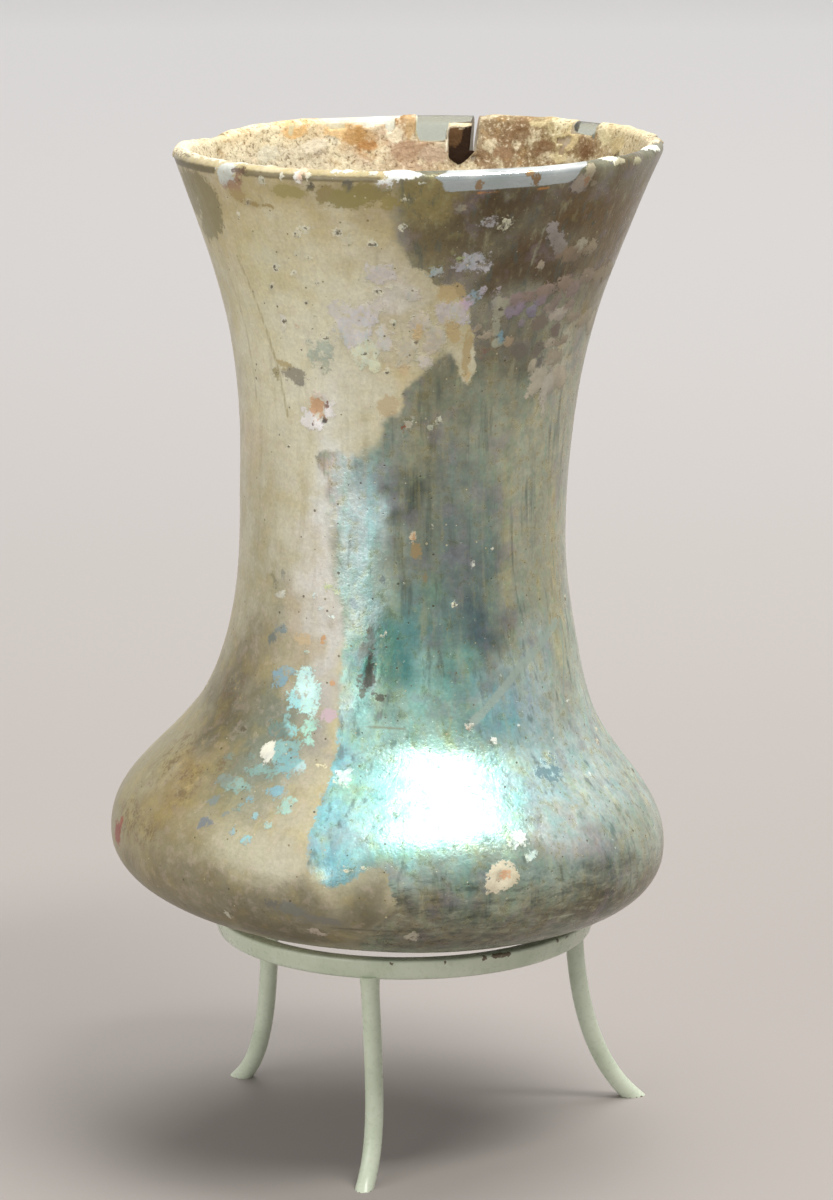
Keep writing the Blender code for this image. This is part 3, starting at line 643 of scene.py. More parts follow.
# %% Crusts and the drip
CRUSTS = [
    (-126.9, 18.8, 2.1, 1.2, -38, "#DEDCCC"), (-125.4, 17.9, 1.3, 1.1, 0, "#D6D5C8"),
    (-53.2, 104.0, 2.2, 1.2, -20, "#928A84"), (-51.2, 102.2, 4.4, 1.2, -30, "#8E867E"),
    (-48.6, 100.4, 2.2, 1.0, -10, "#8C8278"), (-43.6, 99.2, 5.2, 1.2, -6, "#86745C"),
    (-40.6, 100.7, 2.2, 1.1, 0, "#A29A84"), (-36, 99.8, 3.8, 1.3, 0, "#988A70"),
    (-64.2, 91.2, 1.9, 1.8, 10, "#9A9782"), (-65.8, 92.2, 1.0, 1.0, 30, "#949184"),
    (-62.4, 92.1, 1.1, 0.8, -30, "#96947E"), (-64.2, 88.4, 1.1, 1.7, 20, "#9C9C86"),
    (-65.4, 89.4, 0.8, 0.5, 0, "#A2A28E"), (-62.9, 85.6, 1.9, 0.8, -12, "#9A9A84"),
    (-62, 86.6, 1.1, 1.0, 0, "#76929A"), (-58.6, 85.9, 2.0, 1.0, 0, "#9C8A70"),
    (-67.4, 87, 2.8, 0.7, 0, "#A29680"), (-69.8, 88.4, 1.2, 0.6, 0, "#988C78"),
    (-59.6, 92.7, 3.2, 1.0, 8, "#8E7C77"), (-60.6, 90.4, 2.0, 0.9, 0, "#8A7F88"),
    (-55, 92.8, 3.2, 0.9, -14, "#8A786C"), (-49, 93.8, 3.6, 1.3, 10, "#8C7A6C"),
    (-43, 94.6, 3.8, 1.2, -8, "#8E7C6A"), (-38, 93.2, 3.4, 1.4, 12, "#8E7C72"),
    (-32, 95, 3.8, 1.2, -6, "#90806C"), (-25, 94.6, 4.0, 1.3, 8, "#94866C"),
    (-17, 94.6, 4.6, 1.6, -8, "#9C9078"), (-52.6, 90.6, 1.8, 1.4, 20, "#857E8A"),
    (-57.4, 91.2, 1.6, 1.3, 0, "#8A7C88"), (-50, 92.2, 1.5, 1.2, 0, "#8C7C80"),
    (-56, 88.8, 1.6, 0.7, 0, "#827A7C"), (-44, 91.6, 2.0, 1.0, 0, "#86786C"),
    (-37, 90.6, 2.4, 0.8, 10, "#8C7E70"), (-46, 90.8, 2.4, 0.8, 0, "#8C7E72"),
    (-41, 89.4, 4.4, 1.0, -6, "#AEA496"), (-33, 88.4, 4.6, 1.0, -8, "#988B76"),
    (-24, 87.8, 5.0, 1.5, 10, "#A0947C"), (-15, 86.4, 5, 2.0, -12, "#ACA390"),
    (-36, 84.8, 4.6, 0.9, 6, "#948874"), (-42, 85, 2.8, 1.0, 0, "#A89E8A"),
    (-47.4, 81.4, 1.9, 1.2, -30, "#A79E88"), (-43.4, 79.7, 3.8, 1.6, -6, "#ADA592"),
    (-44.6, 77.6, 3.4, 1.0, 6, "#B0A894"), (-38.4, 78, 4.0, 1.9, 0, "#AEA798"),
    (-39.6, 75.6, 2.2, 1.1, 0, "#B4AD9E"), (-38.6, 73.9, 0.9, 0.8, 0, "#B2AB9A"),
    (-33, 79, 4.2, 1.7, 0, "#A89E8A"), (-29, 78, 3.0, 1.3, 0, "#A89E88"),
    (-37, 82.2, 4.8, 1.2, 0, "#9A8F7A"), (-47.6, 76.2, 1.0, 0.5, 0, "#B4AB98"),
    (-84, -7.3, 1.3, 0.8, 0, "#BDB6A2"), (-104.8, -7.5, 2.0, 0.7, -12, "#BFB2A2"),
    (-66.2, 3.2, 3.0, 2.1, 0, "#CFC6AC"), (-64.2, 3.0, 1.9, 1.5, 0, "#CDC3A6"),
    (-68.3, 1.9, 1.7, 1.3, 0, "#C9BFA6"), (-90, 72.6, 1.4, 0.8, 0, "#B3AE98"),
    (-86.4, 54.4, 1.1, 0.8, 0, "#C9B596"), (-61.5, 22, 1.1, 0.5, 0, "#E2E6DC"),
    (-69, 24.4, 1.3, 0.6, -12, "#D8CFBE"), (-110, 17.7, 1.4, 0.35, 0, "#DAD2AC"),
    (-128.4, 112.2, 0.9, 0.6, 0, "#C9C6AE"), (-124.4, 72, 3.4, 1.4, 12, "#E8E4E0"),
    (-117, 73.8, 2.6, 1.0, 16, "#ECE8E5"), (-121, 76.4, 1.8, 0.8, 0, "#DED2C0"),
    (-121, 71.3, 2.6, 0.8, 0, "#F0ECEA"), (-115.2, 75.4, 1.2, 0.5, 0, "#DEDAD0"),
    (-126.8, 73.6, 1.2, 0.5, 0, "#DCD8D4"), (-118.4, 76.2, 1.0, 0.6, 0, "#D8D2C6"),
]
print(len(CRUSTS), "crust patches")

# %% [markdown]
# The lip has been knocked and scraped all round, so cream spots and small scars sit just under
# it and over it, and one thin cream mark is a painted glint. A run above 112.5 lies on the
# rounded lip itself.

# %% Flaked spots on the lip
LIP_PATCHES = [
    (-49, 110.8, 2.4, 1.6, -12, "#94897A"), (-46.8, 112.8, 1.5, 1.5, 0, "#A2987F"),
    (-44.6, 110.6, 1.2, 0.7, 0, "#8C8068"), (-39.4, 115.2, 3.6, 1.2, -20, "#E6E6CE"),
    (-36, 113.6, 2.0, 0.6, 0, "#B5AE90"), (-16, 115.2, 5.0, 1.4, -14, "#EDF0E2"),
    # (-41.4, 109.4) is a painted glint.
    (-28, 113, 2.0, 0.7, 0, "#A8A284"), (-41.4, 109.4, 1.3, 0.3, -12, "#E0CDA6"),
    (-94.4, 115, 3.4, 1.9, 0, "#EDF0EC"), (-97.8, 112.3, 2.2, 1.0, 0, "#D5D6D0"),
    (-91, 114, 1.4, 0.6, 0, "#D9DCD0"), (-89.6, 112.4, 0.9, 0.4, 0, "#B9BAA6"),
    (-109.6, 115, 1.0, 1.5, 0, "#D9D8C4"), (-106.8, 115.3, 1.5, 1.3, 0, "#E0E0CC"),
    (-103.2, 115.2, 0.7, 1.1, 0, "#BDB99C"), (-100.4, 114.4, 0.9, 0.7, 0, "#C9C8B4"),
    (-117.8, 115, 1.2, 2.3, -6, "#DDBFA4"), (-118.8, 113.2, 0.9, 1.1, 0, "#E9E7DE"),
    (-115.8, 113.6, 0.8, 0.8, 0, "#D8D4BC"), (-122.8, 113, 0.5, 0.6, 0, "#D4D0BC"),
    (-140.4, 113, 3.2, 1.8, 0, "#C9CBC2"), (-142, 111.4, 1.8, 1.0, 0, "#C0C3BA"),
    (-138, 112, 1.0, 0.9, 0, "#C6C8BE"), (-137, 115.4, 2.8, 0.8, 8, "#D4D2C0"),
    (-147, 115.5, 6.0, 0.9, 0, "#D5D2BC"), (-158, 115.4, 7.0, 1.0, 0, "#DCD4B8"),
    (-170, 115, 8.0, 1.5, 0, "#E2D5B4"), (178, 115, 9.0, 1.8, 0, "#E4D8BA"),
    (-128, 115.2, 3.4, 0.35, 0, "#D9D6C2"), (-105, 111.9, 0.35, 0.3, 0, "#E6E4D0"),
    (-99.2, 110.2, 0.35, 0.25, 0, "#E0DCC0"), (-93, 110.4, 0.4, 0.3, 0, "#C9C2A0"),
]
print(len(LIP_PATCHES), "spots on the lip")

# %% [markdown]
# The darkest and most local marks lie on top of all others: olive patches under the lip, the
# ones at its left edge partly painted shade, holes in the crusts, the dark scar beside the film's
# border, a few rust spots and a red one.

# %% Stains, painted shade, dark spots and holes
STAINS_AND_SHADE = [
    # The first four, olive under the lip at the left edge, are partly painted shade along the outline.
    (-154.4, 106.6, 7.0, 4.6, 12, "#7C7248"), (-159, 102.6, 7.0, 2.4, 20, "#80774E"),
    (-166, 107, 7.0, 3.4, 0, "#807650"), (-158, 109.8, 10, 2.3, 0, "#7A7048"),
    (-106.8, 109.9, 6.8, 1.7, 0, "#8A8048"), (-101.6, 111.0, 5.6, 1.5, 0, "#867A44"),
    (-122, 110.8, 5.0, 1.0, 0, "#9A8E56"), (-112, 110.6, 2.6, 1.5, 0, "#8C7C4A"),
    (-130.4, 107.9, 5.0, 0.45, -2, "#96824E"), (-138, 109.4, 2.8, 0.6, 0, "#A08A58"),
    (-115.2, 111.6, 1.1, 0.7, 0, "#4A4434"), (-106.2, 112.2, 1.2, 0.8, 0, "#57554A"),
    (-96.4, 109.4, 1.8, 1.2, 0, "#96884E"), (-103, -5, 4.6, 0.9, 0, "#77756A"),
    (-101.6, 30.6, 2.3, 0.5, 0, "#57534A"), (-97, 28.7, 2.2, 0.55, -4, "#5C5A4E"),
    (-102.8, 36.4, 1.6, 0.6, 10, "#62645A"), (-103.6, 31.4, 1.2, 0.5, 0, "#5E5C50"),
    (-129.4, 79.2, 4.8, 1.4, -14, "#868070"), (-127.4, 78.4, 2.4, 1.0, 0, "#7E7A6E"),
    (-133, 80.7, 3.6, 0.6, -12, "#AE9E70"), (-138.4, 79.2, 1.5, 0.8, 0, "#9A9068"),
    (-137.8, 77.6, 0.9, 0.6, 0, "#A0966E"), (-121.2, 74.4, 2.6, 1.9, 20, "#CC9E74"),
    (-118.8, 72.3, 1.0, 0.6, 0, "#2E180E"), (-122.6, 71.5, 0.6, 0.45, 0, "#4E2A1C"),
    (-117.2, 74.9, 0.8, 0.4, 0, "#6E4028"), (-119.4, 76.6, 0.6, 0.3, 0, "#B08060"),
    (-91, 72, 0.8, 0.6, 0, "#8A3E14"), (-58.8, 72.1, 0.6, 0.3, 0, "#8A4A28"),
    (-86.3, 54.4, 0.5, 0.4, 0, "#A2662E"), (-85, 52.2, 1.8, 1.2, 0, "#A38C62"),
    (-82, 47.4, 1.0, 1.0, 0, "#8E8466"), (-139, 35.3, 1.9, 0.9, -4, "#6E7670"),
    (-134.4, 37.2, 2.4, 0.9, 0, "#7F8A88"), (-138.8, 43.9, 1.9, 0.6, 0, "#82816E"),
    (-135.5, 46, 1.2, 0.7, 0, "#8C8D80"), (-141, 45.4, 1.4, 0.5, 0, "#8D8766"),
    (-117, 36.8, 0.9, 0.6, 0, "#BE8C52"), (-112.4, 30, 0.9, 0.5, 0, "#BE8C56"),
    (-125, 36.2, 2.8, 0.9, 0, "#C2AC86"), (-111.6, 25.1, 2.5, 0.9, -6, "#BFA6B0"),
    (-165.5, 0.5, 3.0, 1.7, 0, "#8A3526"), (-163.5, 2.6, 1.2, 0.9, 0, "#96503C"),
    (-138.6, 111, 2.8, 0.7, 0, "#9C7A60"), (-136, 111.9, 1.3, 0.7, 0, "#8E6A4E"),
    (-142.4, 110.3, 1.4, 0.5, 0, "#AA9078"), (-135.6, 113.4, 2.2, 0.6, 0, "#5A3E2E"),
    (-128.2, 112.2, 0.4, 0.3, 0, "#54503A"), (-97.8, 112.3, 0.8, 0.4, 0, "#A58C70"),
    (-76, 112, 0.9, 0.7, 0, "#94795A"), (-61.8, 112.4, 1.4, 1.0, 0, "#8C7050"),
    (-47.4, 111.5, 1.0, 0.8, 0, "#96704C"), (-64, 113.4, 0.8, 0.4, 0, "#B08E68"),
    (-78, 99.8, 1.1, 0.5, 0, "#989E6E"), (-79.5, 94.2, 3.6, 1.5, -4, "#B49F72"),
    (-77.6, 88, 2.4, 1.6, 0, "#B29C6E"), (-88, 87.6, 1.7, 1.3, 0, "#C4AC80"),
    (-72.4, 84.2, 1.5, 3.4, 0, "#A89468"), (-71, 80.6, 0.9, 1.2, 0, "#BEA678"),
    (-96.6, 75.4, 3.4, 1.7, 0, "#B8A684"), (-91.4, 81.6, 1.6, 1.1, 0, "#C6B08A"),
    (-66.4, 84.8, 1.6, 0.5, 0, "#7A5C50"), (-67.6, 83.6, 1.0, 0.4, 0, "#84685A"),
    (-40.4, 86.6, 2.6, 1.3, 0, "#74655A"), (-46.6, 84, 2.6, 1.4, -20, "#726A5E"),
    (-44.6, 82, 1.4, 1.3, 0, "#6C6862"), (-48.6, 88.4, 3.0, 1.4, 0, "#7A6E60"),
    (-54.6, 84, 3.6, 1.2, 0, "#6E685C"), (-26.8, 89.8, 2.4, 1.3, 0, "#8A7E58"),
    (-38.6, 103.8, 1.1, 0.5, 0, "#434A3C"), (-101.2, 38.6, 0.7, 1.2, 0, "#56554A"),
    (-100.2, 36, 0.8, 1.4, 0, "#4E4C42"), (-100.8, 33.4, 1.0, 1.5, 0, "#4A463C"),
    (-99.8, 31.2, 1.2, 1.0, 0, "#504C42"), (-98.4, 28.8, 1.1, 0.5, 0, "#5E5A4E"),
    (-102, 29, 0.8, 0.5, 0, "#66685A"), (-100.6, 37.6, 1.4, 1.4, 0, "#66726E"),
    (-103, 35.4, 1.6, 0.7, 30, "#6E7A76"), (-106.6, 43, 1.5, 0.8, 0, "#8C9CA0"),
    (-97, 47.2, 1.0, 0.9, 0, "#7B8785"), (-133, 7.4, 1.9, 0.8, 0, "#6C747A"),
    (-133.6, 10.6, 1.5, 0.8, 0, "#76807C"), (-128.8, 9.2, 1.0, 0.5, 0, "#7C8480"),
    (-139, 20.8, 1.0, 0.4, 0, "#544A32"), (-67.2, 2.5, 0.5, 0.22, 0, "#2E241E"),
    (-65.8, 3.5, 1.2, 0.7, 0, "#CC9E78"), (-84, -7.4, 0.5, 0.3, 0, "#4C4636"),
    (-61.5, 22, 0.5, 0.22, 0, "#7E9094"), (-69, 24.1, 0.6, 0.3, 0, "#8E7868"),
    (-109.4, -3.6, 3.4, 1.1, 0, "#73746C"), (-113.6, -3, 2.0, 0.8, 0, "#6A6860"),
    (-59, 57, 0.6, 0.35, 0, "#4A4C42"), (-96, 38.2, 0.7, 0.4, 0, "#A58A66"),
    (-44, 31.4, 1.0, 0.35, 0, "#A89072"),
]
print(len(STAINS_AND_SHADE), "stains")

# %% [markdown]
# Gas bubbles in the glass that lay just under the skin have burst: each is a dark pit with a
# pale rim, so each becomes two patches. The pit's dark is partly painted shade, and the rim,
# set a little above it, partly a painted highlight on its upper edge. Their azimuth, run and half
# size in millimetres.

# %% Burst bubbles
BUBBLES = [
    (-130.5, 97.4, 0.42), (-124.8, 96.6, 0.36), (-117.5, 95.2, 0.30), (-121.8, 92.0, 0.30),
    (-129.7, 92.2, 0.26), (-133.8, 94.0, 0.26), (-140.2, 105.9, 0.36), (-119.8, 89.8, 0.28),
    (-131.2, 88.3, 0.38), (-121.2, 87.6, 0.28), (-118.2, 86.4, 0.34), (-116.6, 86.2, 0.34),
    (-123.5, 85.0, 0.30), (-119.2, 84.3, 0.26), (-119.3, 81.2, 0.36), (-138.4, 79.2, 0.34),
    (-148.4, 78.9, 0.28), (-110.5, 90.7, 0.34), (-113.2, 88.9, 0.24), (-99.8, 94.6, 0.44),
    (-96.0, 95.2, 0.32), (-103.0, 92.3, 0.32), (-98.8, 91.2, 0.30), (-101.8, 90.6, 0.24),
    (-95.0, 89.0, 0.38), (-90.0, 90.4, 0.36), (-88.4, 86.2, 0.32), (-90.2, 84.1, 0.36),
    (-96.9, 81.0, 0.36), (-104.0, 84.0, 0.36), (-119.0, 104.4, 0.50), (-121.6, 103.4, 0.36),
    (-109.6, 104.2, 0.40), (-101.0, 102.6, 0.38), (-112.2, 108.3, 0.36), (-122.6, 100.2, 0.40),
    (-119.2, 99.5, 0.34), (-134.9, 108.2, 0.30), (-93.3, 105.3, 0.30), (-92.6, 110.0, 0.28),
    (-110.4, 75.9, 0.26), (-110.4, 69.8, 0.28), (-141.8, 71.8, 0.28), (-133.8, 67.0, 0.30),
    (-63.6, 91.4, 0.28), (-73.0, 99.0, 0.30), (-97.8, 3.6, 0.34), (-94.2, 4.1, 0.28),
    (-104.2, 16.2, 0.28), (-96.0, 38.3, 0.36), (-70.0, 53.0, 0.26), (-57.0, 52.0, 0.26),
    (-80.0, 56.0, 0.26), (-72.0, 43.6, 0.26),
]
DEGREES_PER_MM = 2.1
# RIM_UP sets the pale rim a little above the pit, as a painted highlight on its upper edge.
RIM_WIDE, RIM_TALL, RIM_UP = 1.7, 1.5, 0.1
PIT_TALL = 0.8
PIT_COLOUR = "#463E2C"


def burst_bubble(azimuth, run, size, rim_colour):
    """A bubble's pale rim and its dark pit, as two patches."""
    wide = DEGREES_PER_MM * size
    rim = (azimuth, run + RIM_UP, RIM_WIDE * wide, RIM_TALL * size, 0, rim_colour)
    return rim, (azimuth, run, wide, PIT_TALL * size, 0, PIT_COLOUR)


bubble_rims = []
pits = []
for bubble in BUBBLES:
    rim, pit = burst_bubble(*bubble, "#DAD6C0")
    bubble_rims.append(rim)
    pits.append(pit)
print(len(pits), "burst bubbles")

# %% [markdown]
# On the left shoulder and round the back fine brown soil still clings, in specks. These broad
# patches only say where, and the specks come from noise in the material.

# %% Clinging soil
SOIL = [
    (-152, 25, 11, 6, 10), (-158, 14, 12, 7, 0), (-146, 12, 9, 6, 0), (-160, 4, 11, 5, 0),
    (-138, 15, 6, 4, 0), (-150, 3, 9, 4, 0), (130, 12, 24, 7, 0), (60, 20, 16, 6, 0),
]
print("soil clings in", len(SOIL), "places")

# %% [markdown]
# A few marks are thin lines: scratches, the pale edge of a film's layer, rust along the lip's
# foot, and the faint spiral cords of the blowing. Each has its half width in millimetres, its
# colour and the points it passes.

# %% Thin lines
LINES = [
    (0.55, "#4C4426", (-178, 112.2), (-162, 112.7), (-145, 112.9)),
    (0.48, "#5A5030", (-134, 113.2), (-120, 113.1), (-108, 113.1), (-99, 113.1)),
    (0.70, "#A8B8AC", (-68, 25), (-60, 28.4), (-50, 32.6), (-38, 36), (-26, 39)),
    (0.16, "#A59C80", (-82, 47.2), (-74, 47.6), (-66, 47.3)),
    (0.14, "#D08B44", (-76, 110.7), (-71, 110.9)), (0.14, "#C4863E", (-61, 110.6), (-58, 110.8)),
    (0.30, "#A0966E", (-146, 98), (-141, 88), (-137, 80), (-134, 72)),
    (0.30, "#AFA68A", (-158, 104), (-155, 95), (-152, 85), (-151, 74)),
    (0.18, "#4E5448", (-86, -0.2), (-70, -0.9), (-52, -0.6), (-34, 0.6)),
    (0.14, "#B9BCA8", (-70, -5.4), (-56, -5.1), (-44, -4.4)),
    (0.16, "#565142", (-110, -5.8), (-96, -6.3), (-80, -6.0)),
    (0.20, "#8FA9A2", (-30, 26), (-24, 34), (-21, 46), (-20, 58)),
    (0.20, "#BFC4B4", (-38, 22), (-31, 32), (-28, 44)),
    (0.16, "#8C856C", (-104, 23.6), (-96, 24.2), (-88, 24)),
    (0.16, "#707462", (-92, 63), (-90, 52), (-88.6, 44)), (0.22, "#9A9A84", (-56, 104), (-57, 98)),
]
print(len(LINES), "thin lines")

# %% [markdown]
# The front of the lip, right of the middle, keeps a strip of bare, fire-polished glass that
# shines silvery; its white and grey are a painted highlight, the lamps' reflection on the lip.
# Two spots in the rim at the back have no skin at all, so they are clear. The last border is a
# dark hollow in the mouth's lime crust, beside the crack, whose near-black is painted shade.

# %% The silver strip's painted highlight, the clear windows and the hollow's painted shade
STRIP_BORDER = [
    (-86.6, 113.4, 0.10), (-84.2, 112.6, 0.10), (-86.0, 112.0, 0.10), (-83.4, 111.4, 0.12),
    (-84.4, 110.9, 0.08), (-80, 111.1, 0.08), (-70, 111.2, 0.08), (-60, 111.2, 0.08),
    (-53, 111.3, 0.10), (-50.8, 111.8, 0.2), (-50.0, 113.2, 0.2), (-47.4, 114.0, 0.2),
    (-46.0, 116.4, 0.2), (-83.0, 117.2, 0.1), (-83.4, 114.4, 0.1),
]
# The strip's colours are a painted highlight: white along the top of the lip, cool grey below.
STRIP_HIGHLIGHT = "#A8B0B0"
STRIP_HIGHLIGHT_WASHES = [
    (-65, 115.7, 40, 1.35, "#F8FAF6", 1.0), (-65, 113.9, 40, 0.22, "#FFFFFF", 0.9),
    (-56, 112.6, 4, 1.0, "#BAC1C2", 0.8), (-72, 112.4, 3, 1.0, "#98A2A0", 0.7),
]
BACK_WINDOW = [
    (76.2, 109.2, 0.1), (90.4, 109.2, 0.1), (90.4, 119.0, 0.1), (89.4, 119.9, 0.1), (82.7, 119.9, 0.1),
    (82.5, 116.9, 0.1), (76.2, 116.6, 0.1),
]
SIDE_WINDOW = [(37.4, 108.6, 0.1), (46.2, 108.6, 0.1), (46.0, 117.5, 0.1), (37.6, 117.9, 0.1)]
HOLLOW_SHADE_BORDER = [
    (75.3, 117.5, 0.1), (81.9, 118.1, 0.1), (81.3, 121.0, 0.1), (81.2, 122.7, 0.1), (78.4, 123.9, 0.1),
    (76.2, 122.6, 0.1), (74.2, 121.3, 0.1), (74.4, 119.4, 0.1),
]
print("the strip has", len(STRIP_BORDER), "corners; windows:", BACK_WINDOW[0][:2], SIDE_WINDOW[0][:2])

# %% [markdown]
# The inside is mostly out of sight, so it takes fewer washes: bright iridescent glass at the
# back of the rim, brownish below, dark brown glass under the hollow beside the crack, deepened
# as painted shade, duller towards the base.

# %% The inside of the glass
INSIDE_WASHES = [
    (60, 128, 30, 20, "#957A5E", 0.9), (-60, 128, 40, 20, "#8F7757", 0.9),
    (135, 128, 30, 20, "#CDBD98", 0.9), (-135, 128, 40, 20, "#C6B68E", 0.9),
    (20, 165, 60, 22, "#978B72", 0.9), (-150, 165, 60, 22, "#B2A57F", 0.9),
    (60, 205, 90, 22, "#857A62", 0.9), (-100, 205, 70, 22, "#8C836B", 0.9),
    (0, 250, 180, 26, "#6F664F", 0.9), (100, 115, 7, 3.6, "#E6E8E4", 0.95),
    (112, 114, 4, 2.0, "#D8D8C8", 0.9), (86, 116, 8, 3.6, "#B9BB9E", 0.9),
    # (78, 120.6) is the dark brown glass under the hollow, partly painted shade.
    (88, 122.4, 6, 2.4, "#AE9078", 0.9), (78, 120.6, 5.0, 6.0, "#4A3624", 1.0),
    (68, 116, 4, 3, "#7E6044", 0.9), (40, 114.4, 5, 2.4, "#A6A48E", 0.8),
]
print("the inside has", len(INSIDE_WASHES), "washes")

# %% [markdown]
# The back of the beaker isn't in the picture. It weathered in the same soil, so it gets blotches,
# flakes and burst bubbles of the same kinds, scattered by a seeded random generator, and one
# more island of film.

# %% Marks on the unseen back
scatter = random.Random(5)
BLOTCHES, BACK_BUBBLES, CLUMPS = 34, 60, 26
BLOTCH_TINTS = ("#847A58", "#CBC4A4", "#A2946A", "#98967E", "#BBA98C", "#766E50", "#D2CCB4")
FLECK_TINTS = ("#CCC6C6", "#C6BEB2", "#B9B09C", "#A9B4A6", "#B3A294", "#A4B2A8")
BACK_ISLAND = [
    (98, 58, 0.5), (104, 62, 0.4), (110, 58, 0.8), (116, 60, 0.3), (121, 52, 0.5), (118, 46, 0.4),
    (125, 38, 0.8), (121, 30, 0.4), (127, 22, 0.6), (119, 14, 0.4), (110, 18, 1.0), (103, 10, 0.5),
    (96, 17, 0.4), (99, 26, 1.2), (92, 33, 0.5), (97, 40, 0.4), (93, 50, 0.8),
]
back_washes = []
back_marks = []
for blotch in range(BLOTCHES):
    shade = scatter.choice(BLOTCH_TINTS)
    back_washes.append((scatter.uniform(50, 185), scatter.uniform(-10, 108), scatter.uniform(4, 13),
                        scatter.uniform(2.5, 11), shade, scatter.uniform(0.4, 0.7)))
for bubble in range(BACK_BUBBLES):
    azimuth, run, size = scatter.uniform(-20, 185), scatter.uniform(6, 108), scatter.uniform(0.2, 0.42)
    rim, pit = burst_bubble(azimuth, run, size, "#D2CCB4")
    back_marks.append(rim)
    pits.append(pit)
for clump in range(CLUMPS):
    middle = (scatter.uniform(2, 178), scatter.uniform(2, 108))
    shade = scatter.choice(FLECK_TINTS)
    for fleck in range(scatter.randint(3, 8)):
        back_marks.append((middle[0] + scatter.gauss(0, 4.5), middle[1] + scatter.gauss(0, 2.6),
                           scatter.uniform(0.8, 4.2), scatter.uniform(0.4, 1.9),
                           scatter.uniform(-30, 30), shade))
print("the back has", len(back_washes), "washes and", len(back_marks), "patches")

# %% [markdown]
# Low relief comes next, in the mesh itself, so the surface still shows it with no material:
# the slow waviness of blown glass, crusts that stand a little proud, and chipped hollows. A row
# of RELIEF gives patches, their height in millimetres, how ragged their edge is and how far
# their slope spreads.

# %% Low relief
WAVES = ((0.12, 14, 2), (0.025, 3, 3))
RAGGED = (1.0, 1.5, 1)
CHIP_HOLLOWS = [
    (-120.8, 74, 2.8, 2.0, 14), (-118.8, 72.3, 1.1, 0.8, 0), (-66.6, 2.8, 1.5, 1.0, 0),
    (-90.6, 72.2, 0.9, 0.6, 0), (-84, -7.4, 0.9, 0.6, 0), (-61.5, 22, 0.8, 0.4, 0),
    (-69, 24.1, 0.9, 0.5, 0), (-128.2, 112.2, 0.6, 0.5, 0), (-104.8, -7.6, 1.1, 0.5, 0),
    (-136, 113.4, 2.2, 0.9, 0), (-100, 32.6, 1.8, 2.6, 0), (78.4, 121, 3.0, 3.0, 0),
    (78.6, 119, 2.8, 1.6, 0),
]
RELIEF = (
    (CRUSTS, 0.20, 0.5, 0.4), (LILAC_FLAKES_AND_GLINTS + CYAN_FLAKES_AND_GLINTS, 0.06, 0.5, 0.3),
    (LIP_PATCHES, 0.22, 0.4, 0.6), (CHIP_HOLLOWS, -0.55, 0.2, 0.6),
)


def ease(share):
    share = np.clip(share, 0, 1)
    return share * share * (3 - 2 * share)


def add_relief(skin, normals):
    ragged = noise_over(skin.places, RAGGED)
    proud = noise_over(skin.places, *WAVES)
    for strokes, height, stray, slope in RELIEF:
        proud += height * ease((skin.deepest(strokes) + stray * ragged) / slope)
    return skin.places + normals * proud[:, None]


def vertex_normals(mesh):
    normals = np.empty(len(mesh.vertices) * 3)
    mesh.vertex_normals.foreach_get("vector", normals)
    return normals.reshape(-1, 3)


print("relief ready,", len(CHIP_HOLLOWS), "hollows")

# %% [markdown]
# The form follows, as the blower's hand and later wear left it: the rim slants, the axis sways
# at the shoulder, and the lip is worn down in one place. The beaker then leans in its ring.
# numpy moves all vertices at once, and the mesh takes their new places.

# %% The free-blown form
RIM_SLANT = math.radians(3.3)
SWAY, SWAY_UP, SWAY_SPREAD = 1.1, 30.6, 15.8
DIP_ANGLE, DIP_WIDTH, DIP_DEPTH, DIP_RUN = math.radians(154.0), math.radians(13.0), 1.0, 10.0
LEAN_RIGHT = math.radians(2.6)
LEAN_BACK = math.radians(3.0)
BELLY_HEIGHT = 51.524


def shape_by_hand(places):
    """Slant the rim, let the axis wander and wear the lip down in one place."""
    x, y, up = places.T
    slanted = up + math.tan(RIM_SLANT) * ease((up - WAIST[1]) / (RIM[1] - WAIST[1])) * x
    from_dip = (np.arctan2(y, x) - DIP_ANGLE) / DIP_WIDTH
    near_lip = np.clip(1 - (RIM[1] - up) / DIP_RUN, 0, 1)
    slanted -= DIP_DEPTH * near_lip * np.exp(-from_dip ** 2)
    swayed = x + SWAY * np.exp(-((up - SWAY_UP) / SWAY_SPREAD) ** 2)
    return np.stack([swayed, y, slanted], axis=1)


def stand_in_ring(places):
    """Lean the beaker in its ring, and turn millimetres into metres."""
    turn = Matrix.Rotation(-LEAN_BACK, 3, "X") @ Matrix.Rotation(LEAN_RIGHT, 3, "Y")
    return (places @ np.array(turn).T + (0, 0, BELLY_HEIGHT)) * MM


def place_mesh(mesh, places):
    mesh.vertices.foreach_set("co", places.ravel())
    mesh.update()


print("the rim slants by", round(math.degrees(RIM_SLANT), 1), "degrees")

# %% [markdown]
# The glass material. Free-blown soda glass has an IOR of 1.5 and a fire-polished, glossy skin,
# but weathering leaves it satin. Its colour is built up in layers, as the weathering was. First
# come the patterns that the layers share, each at its real size in millimetres: clouds of five
# sizes, streaks and curtains drawn out upright, level cords from the blowing, and smears.

# %% Patterns in the weathering
COLOURS = {"data_type": "RGBA"}
TIMES_COLOUR = {"data_type": "RGBA", "blend_type": "MULTIPLY"}
SMOOTH = {"interpolation_type": "SMOOTHSTEP"}
PLUS = {"operation": "ADD"}
MINUS = {"operation": "SUBTRACT"}
MINUS_TO_ZERO = {"operation": "SUBTRACT", "use_clamp": True}
TIMES = {"operation": "MULTIPLY"}
TIMES_PLUS = {"operation": "MULTIPLY_ADD"}
LARGER = {"operation": "MAXIMUM"}

